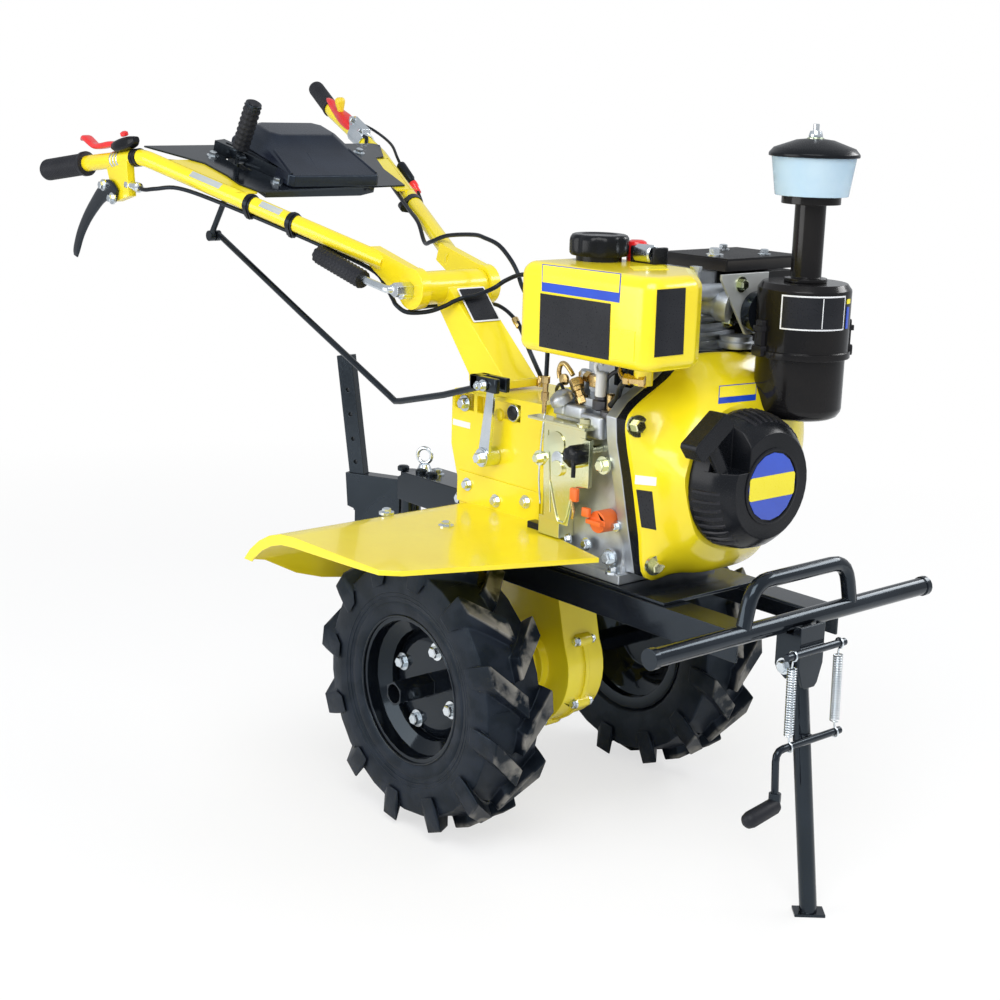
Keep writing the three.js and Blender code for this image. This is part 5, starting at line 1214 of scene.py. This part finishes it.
wing_nut("governor_knob", (181, -112, 560), 15, 22, black_plastic)
wire("governor_knob_ear", [(186, -132, 556), (190, -134, 546), (190, -134, 534)], 3, black_plastic)
wire("governor_spring_link", [(170, -116, 510), (172, -118, 498), (176, -118, 484),
                              (173, -116, 472)], 2.2, brass)
block("governor_link_tab", (168, 182), (-120, -112), (496, 514), 3, orange_plastic)
wire("governor_press_line", [(121, -111.6, 513), (137, -111.8, 466), (146, -111.8, 461),
                             (155, -111.8, 466), (167, -111.6, 513)], 1.5, gold_zinc, sides=8)
wire("governor_fold_line", [(113, -111.5, 582), (118, -111.5, 540), (123, -111.5, 470)], 1.0,
     gold_zinc, sides=8)
fasteners("governor_bolts", [((99, -112, 541), RIGHT, 7), ((224, -112, 554), RIGHT, 8),
                             ((173, -99, 597), UP, 8)], gold_zinc)
fasteners("crankcase_bolts", [((137, -91, 432), RIGHT, 6), ((177, -91, 434), RIGHT, 6),
                              ((222, -91, 425), RIGHT, 8), ((230, -90, 470), RIGHT, 5)], zinc)
seats = []
for spot in ((275, -105, 614), (275, -59, 422)):
    way = (at(*spot) - camera.location).normalized()
    _, place, normal, _ = shroud.ray_cast(at(*spot) - way * 0.2, way)
    back = (place - at(0, 0, 0)) / MM
    seats.append((back, normal + Vector(FRONT), 8.5))
fasteners("shroud_bolts", seats, gold_zinc, washer=1.7)
block("oil_cap_flag", (192, 206), (-120, -112), (480, 492), 3, orange_plastic)
print("engine fittings made")

# %% [markdown]
# The gearbox has a cast recess on its near side with the shaft's black plug in it. The hitch's
# block is held by round-headed pins.

# %% Gearbox plug, hitch pins and battery box
lathe("shaft_plug_ring", [(12.5, -4), (12.5, 3), (11.6, 4)], (-4, -70, 582), RIGHT, zinc, sides=36)
lathe("shaft_plug", [(10.6, -3), (10.6, 4.6), (9, 5.6), (4, 5.9)], (-4, -70, 582), RIGHT,
      black_plastic, sides=36)
fasteners("recess_bolts", [((-114, -70, 579), RIGHT, 8)], zinc)
lathe("oil_level_boss", [(9, -2), (9, 3), (7, 5), (3, 6)], (-36, -70, 574), RIGHT, yellow,
      sides=28)
for index, x in enumerate((-335, -288, -262)):
    lathe(f"hitch_pin_{index}", [(9, -2), (9.6, 0.5), (9.6, 4), (7.5, 6), (2, 6.8)],
          (x, -12, 431 + (3 if x > -300 else 0)), UP, black, sides=28)
block("battery_box", (62, 100), (-99, -82), (424, 443), 3, black_plastic)
print("gearbox and hitch fittings made")

# %% [markdown]
# The intake runs from the head to the air cleaner: a cast pipe, its flange, a steel plate and the
# black neck. The pre-cleaner's lid is held by a plated nut on its seat.

# %% Intake and pre-cleaner fittings
lathe("intake_pipe", [(15, 0), (15, 20), (18, 24), (21, 28), (21, 42)], (246, 30, 764),
      (0.9, 0.42, -0.12), alloy, sides=36)
lathe("intake_flange", [(24, 0), (25, 2), (25, 8), (22, 10), (22, 16)], (262, 88, 700), UP, alloy,
      sides=40)
lathe("intake_tube", [(11, 0), (11, 40)], (262, 6, 778), (0.2, 1, 0), alloy, sides=28)
lathe("cleaner_neck", [(22, 0), (27, 2), (28, 8), (27, 16)], (292.4, 84, 752), FRONT, black,
      sides=40)
lathe("head_plug", [(6, 0), (6, 14), (8, 15), (8, 20)], (262, 2, 792), UP, zinc, sides=6)
LID_TOP = 978.6
lathe("precleaner_seat", [(11, 0), (11, 2), (9, 3)], (*CAN, LID_TOP - 1), UP, gold_zinc,
      sides=24)
lathe("precleaner_nut", [(8.6, 0), (9.2, 2), (8, 6), (7.4, 8.2), (4, 8.6), (4, 16.6), (3, 17.2)],
      (*CAN, LID_TOP + 1.6), UP, zinc, sides=18)
print("intake fitted")

# %% [markdown]
# The gear rod is a bent wire with an eye at the lever and a small fork at the shift arm. A short
# zinc pin passes through the eye. The stand's foot crank ends in a moulded grip.

# %% Gear rod and crank
ROD_ROUTE = [(-750, -97.5, 772), (-505, -94, 666), (-270, -90.6, 567), (-257, -90, 561),
             (-243, -90, 563.5), (-140, -90, 589), (-58, -90, 613.5)]
rod = settle(skinned("smooth_gear_rod", sweep([at(*point) for point in ROD_ROUTE], 5 * MM, 20),
                     60), black, "gear_linkage")
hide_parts("gear_rod")
lathe("gear_rod_eye", [(6, -5), (9, -4.6), (9, 4.6), (6, 5)], (-755, -98.2, 770), LEFT, black,
      "gear_linkage", sides=32)
lathe("gear_rod_pin", [(3, 0), (6.4, 1), (6.4, 5), (5, 6)], (-755, -112, 770), LEFT, zinc,
      "handlebars", sides=24)
block("gear_fork_near", (-65, -7), (-104, -94.6), (611.6, 632), 3, black, "gear_linkage", edge=1.2)
block("gear_fork_far", (-65, -7), (-85.4, -76), (611.6, 632), 3, black, "gear_linkage", edge=1.2)
block("gear_fork_back", (-66, -46), (-104, -76), (611.6, 632), 3, black, "gear_linkage", edge=1.2)
lathe("crank_grip", [(6, 0), (9, 1.5), (10.6, 6), (10.8, 30), (11, 50), (9.4, 57), (6, 60.5),
                     (2, 62)], (511.7, -64.5, 166), (2, -56, -7), grip_rubber, "stand", sides=32)
print("rod and crank made")

# %% [markdown]
# The control panel is screwed down, and its cover has pressed lines. The clutch lever turns on
# two plated bolts in its bracket, next to the clamp that holds it to the tube.

# %% Panel, clutch bracket and throttle fittings
SLOPE = math.atan2(120, 398)


def on_panel(u, y, w):
    """A point of the panel: along its slope, across, and up off it."""
    return (-749 + u * math.cos(SLOPE) + w * math.sin(SLOPE), y,
            902 - u * math.sin(SLOPE) + w * math.cos(SLOPE))


PANEL_UP = (math.sin(SLOPE), 0, math.cos(SLOPE))
# The right tube's last straight run, up to the grip, and its direction.
GRIP_TUBE = (Vector((-749, -240, 902)), Vector((-887, -258.8, 885.9)))
GRIP_RUN = (-138, -18.8, -16.1)
fasteners("panel_screws", [(on_panel(44, -137, 16.8), PANEL_UP, 6.5),
                           (on_panel(170, -91, 16.8), PANEL_UP, 6.5),
                           (on_panel(30, 169, 16.8), PANEL_UP, 6.5)], zinc, "handlebars",
          washer=1.6)
plate("panel_slot", on_panel(81, 139, 16.6), (math.cos(SLOPE), 0, -math.sin(SLOPE)), (0, 1, 0),
      (30, 9), red_plastic, "handlebars", corner=4.4, thick=1.0)
for index, (u0, y0, u1, y1, w) in enumerate(((112, -66, 186, -76, 44), (112, 84, 186, 92, 44),
                                             (120, -6, 186, -20, 42))):
    wire(f"cover_line_{index}", [on_panel(u0, y0, w + 7),
                                 on_panel((u0 + u1) / 2, (y0 + y1) / 2, w),
                                 on_panel(u1, y1, w - 7)], 2.4, satin_plastic, "handlebars")
plate("gate_slot", on_panel(81, -88.5, 35.2), (math.cos(0.29) * math.cos(SLOPE), math.sin(0.29),
                                               -math.sin(SLOPE)), (0, 1, 0), (112, 5), black,
      "handlebars", corner=2.4, thick=0.6)
for index, (x0, x1) in enumerate(((-645, -588), (-514, -476))):
    a, b = right_tube(x0), right_tube(x1)
    mid = [(p + q) / 2 for p, q in zip(a, b)]
    mid[1] -= 9.2
    mid[2] += 10.2
    plate(f"tube_label_{index}", mid, Vector(b) - Vector(a), (0, 0.72, 0.62),
          (abs(x1 - x0) * 1.1, 11), label_foil, "handlebars", corner=1, thick=0.8, sink=3)
fasteners("clutch_pivots", [((-836, -266.4, 852), RIGHT, 6.5), ((-806, -266.4, 832), RIGHT, 6.5)],
          zinc, "handlebars")
lathe("clutch_ferrule", [(6, -4), (8.6, -3), (8.6, 6), (6.8, 7), (6.8, 22), (8.2, 23), (8.2, 32),
                         (4, 35)], (-776, -251, 856), (31, 0, -3), zinc, "handlebars", sides=24)
for index, share in enumerate((0.40, 0.46, 0.52)):
    spot = GRIP_TUBE[0].lerp(GRIP_TUBE[1], share)
    lathe(f"clutch_clamp_{index}", [(14, -2), (14.6, -1), (14.6, 1), (14, 2)], spot,
          GRIP_RUN, zinc, "handlebars", sides=32)
lathe("clutch_clamp_screw", [(3, 0), (5, 1), (5, 10), (3, 11)], (-816, -252, 908), UP, zinc,
      "handlebars", sides=6)
lathe("throttle_button", [(5, 0), (6.5, 1), (6.5, 6), (3, 8)], (-786, -252, 934), (0, -0.3, 1),
      red_plastic, "handlebars", sides=24)
lathe("throttle_knob_left", [(4, 0), (4.5, 4), (6, 10), (9, 22), (9.5, 27), (8, 31), (4, 33)],
      (-884, 249, 970), (-0.06, -0.05, 1), yellow_plastic, "handlebars", sides=28)
fasteners("throttle_bolts", [((-832, 241, 962), (-0.3, -1, 0.5), 6),
                             ((-808, 241, 944), (-0.3, -1, 0.5), 5)], zinc, "handlebars")
print("handlebar fittings made")

# %% [markdown]
# The clutch lever and the throttle levers are long soft shapes. Each is a loft: an oval section
# carried along stations, with its own width and thickness at each.

# %% Levers
def loft(name, across, stations, skin, body):
    """Stations are (x, y, z, half width across, half thickness)."""
    across = Vector(across).normalized()
    route = [Vector(station[:3]) for station in stations]
    rings = []
    for k, (x, y, z, wide, thick) in enumerate(stations):
        tangent = (route[min(k + 1, len(route) - 1)] - route[max(k - 1, 0)]).normalized()
        other = tangent.cross(across).normalized()
        ring = []
        for turn in range(32):
            a = 2 * math.pi * turn / 32
            u, v = math.cos(a), math.sin(a)
            ring.append(at(x, y, z) + (across * wide * math.copysign(abs(u) ** 0.6, u)
                                       + other * thick * math.copysign(abs(v) ** 0.6, v)) * MM)
        rings.append(ring)
    return settle(skinned(name, rings, 45), skin, body)


def eased(stations, steps=5):
    """More stations on a smooth curve through the given ones."""
    spots = through([Vector(station[:3]) for station in stations], steps)
    sizes = through([Vector((*station[3:], 0)) for station in stations], steps)
    return [(*spot, size.x, size.y) for spot, size in zip(spots, sizes)]


clutch = loft("clutch_blade", RIGHT, eased([(-800, -262, 836, 2.6, 12), (-824, -262, 845, 3.4, 17),
                                            (-850, -262, 836, 3.6, 15), (-878, -262, 816, 3.6, 13),
                                            (-905, -262, 793, 3.6, 11.5),
                                            (-930, -262, 765, 3.4, 10.5),
                                            (-947, -262, 736, 3.0, 9.5),
                                            (-951, -262, 724, 1.6, 7)]), black, "handlebars")
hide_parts("clutch_lever")
right_red = loft("right_throttle", (0, 1, 0), eased([(-812, -251, 918, 6, 4),
                                                     (-830, -252, 919, 9, 5),
                                                     (-858, -254, 915, 9, 5),
                                                     (-880, -255, 914, 8, 5),
                                                     (-898, -255, 920, 9, 5),
                                                     (-914, -255, 926, 9, 4.6),
                                                     (-925, -255, 923, 6, 3)]), red_plastic,
                 "handlebars")
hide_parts("throttle_lever_right")
right_base = loft("right_throttle_base", (0, 1, 0), eased([(-756, -248, 930, 6, 5),
                                                           (-766, -249, 926, 10, 9),
                                                           (-785, -251, 921, 12, 10.5),
                                                           (-803, -252, 917, 12, 9.5),
                                                           (-818, -253, 916, 8, 6)]),
                  black_plastic, "handlebars")
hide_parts("throttle_mount_right")
for index, share in enumerate((0.07, 0.13)):
    spot = GRIP_TUBE[0].lerp(GRIP_TUBE[1], share)
    lathe(f"right_throttle_band_{index}", [(13.4, -4), (14.8, -3), (14.8, 3), (13.4, 4)], spot,
          GRIP_RUN, black_plastic, "handlebars", sides=36)
left_red = loft("left_throttle", (0.25, 1, 0), eased([(-838, 246, 946, 7, 5),
                                                      (-850, 247, 953, 11, 9),
                                                      (-872, 250, 964, 12.5, 10),
                                                      (-896, 254, 974, 10, 8),
                                                      (-918, 258, 984, 8, 6),
                                                      (-934, 261, 994, 7, 4.5),
                                                      (-944, 262, 998, 4, 3)]), red_plastic,
                "handlebars")
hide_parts("throttle_lever_left")
lathe("clamp_collar", [(8, 0), (9.6, 1), (9.6, 34), (8, 35.5)], (-226, -73, 730), RIGHT, zinc,
      "handlebars", sides=36)
print("levers lofted")

# %% [markdown]
# Each tyre's bead laps over the rim's flange, so the metal shows as a thin rolled lip. Two
# moulded rings run round the sidewall. They are closed outlines spun into a ring.

# %% Bead, lip and sidewall rings
def ring(name, outline, base, axis, skin, body, sides=96):
    """A closed outline of (radius, along) turned round an axis."""
    shape = bmesh.new()
    rows = [[shape.verts.new(point) for point in round_row]
            for round_row in turned(outline, base, axis, sides)]
    wall(shape, rows + rows[:1])
    return settle(from_shape(name, shape, 50), skin, body)


def bead(radius, along, small, sides=10):
    """A small round outline for a rolled lip or a moulded rib."""
    return [(radius + small * math.cos(2 * math.pi * k / sides),
             along + small * math.sin(2 * math.pi * k / sides)) for k in range(sides)]


WHEEL_CENTRE = (0, 0, WHEEL_Z)
for side, name in ((-1, "right"), (1, "left")):
    way = (0, side, 0)
    ring(f"bead_{name}", [(107.4, 253), (107.4, 255.8), (109, 256.8), (114, 257.9), (120, 258.6),
                          (125, 258.6), (128, 257), (124, 253)], WHEEL_CENTRE, way, tyre_rubber,
         "wheels")
    ring(f"rim_lip_{name}", bead(105.6, 255.4, 1.9), WHEEL_CENTRE, way, rim_black, "wheels")
    ring(f"sidewall_ring_{name}", bead(133, 258.3, 1.8), WHEEL_CENTRE, way, tyre_rubber, "wheels")
    ring(f"sidewall_line_{name}", bead(139, 260, 1.2), WHEEL_CENTRE, way, tyre_rubber, "wheels")
print("beads and sidewall rings made")

# %% [markdown]
# The heat shield over the silencer is folded down along the two edges that face forward and to
# the right.

# %% Heat shield skirts
for name, x, y in (("front", (260.2, 262), (62, 213)), ("near", (143, 261), (60.4, 62.2))):
    block(f"shield_skirt_{name}", x, y, (802, 817), 0.7, heat_black, edge=0.5)
print("heat shield folded")

# %% [markdown]
# The recoil cover breathes through louvres on its round side. Each is a low wedge that follows
# the side from the shroud towards the cover's face.

# %% Recoil louvres
def louvres(name, turns):
    shape = bmesh.new()
    for turn in turns:
        a = math.radians(turn)
        out, over = Vector((0, math.cos(a), math.sin(a))), Vector((0, -math.sin(a), math.cos(a)))
        tube(shape, [[at(x, *CRANK) + (out * (reach + up) + over * wide) * MM
                      for wide, up in ((-2.8, -1.5), (2.8, -1.5), (2.2, rise), (-1.0, rise))]
                     for x, reach, rise in ((357, 90.6, -0.4), (361, 91, 1.7), (380, 88.6, 1.8),
                                            (393, 84.2, 1.6), (398, 82.4, -0.4))])
    return settle(from_shape(name, shape, 25), black_plastic)


louvres("recoil_louvres", [*range(42, 112, 7), *range(182, 246, 8)])
print("recoil louvres made")
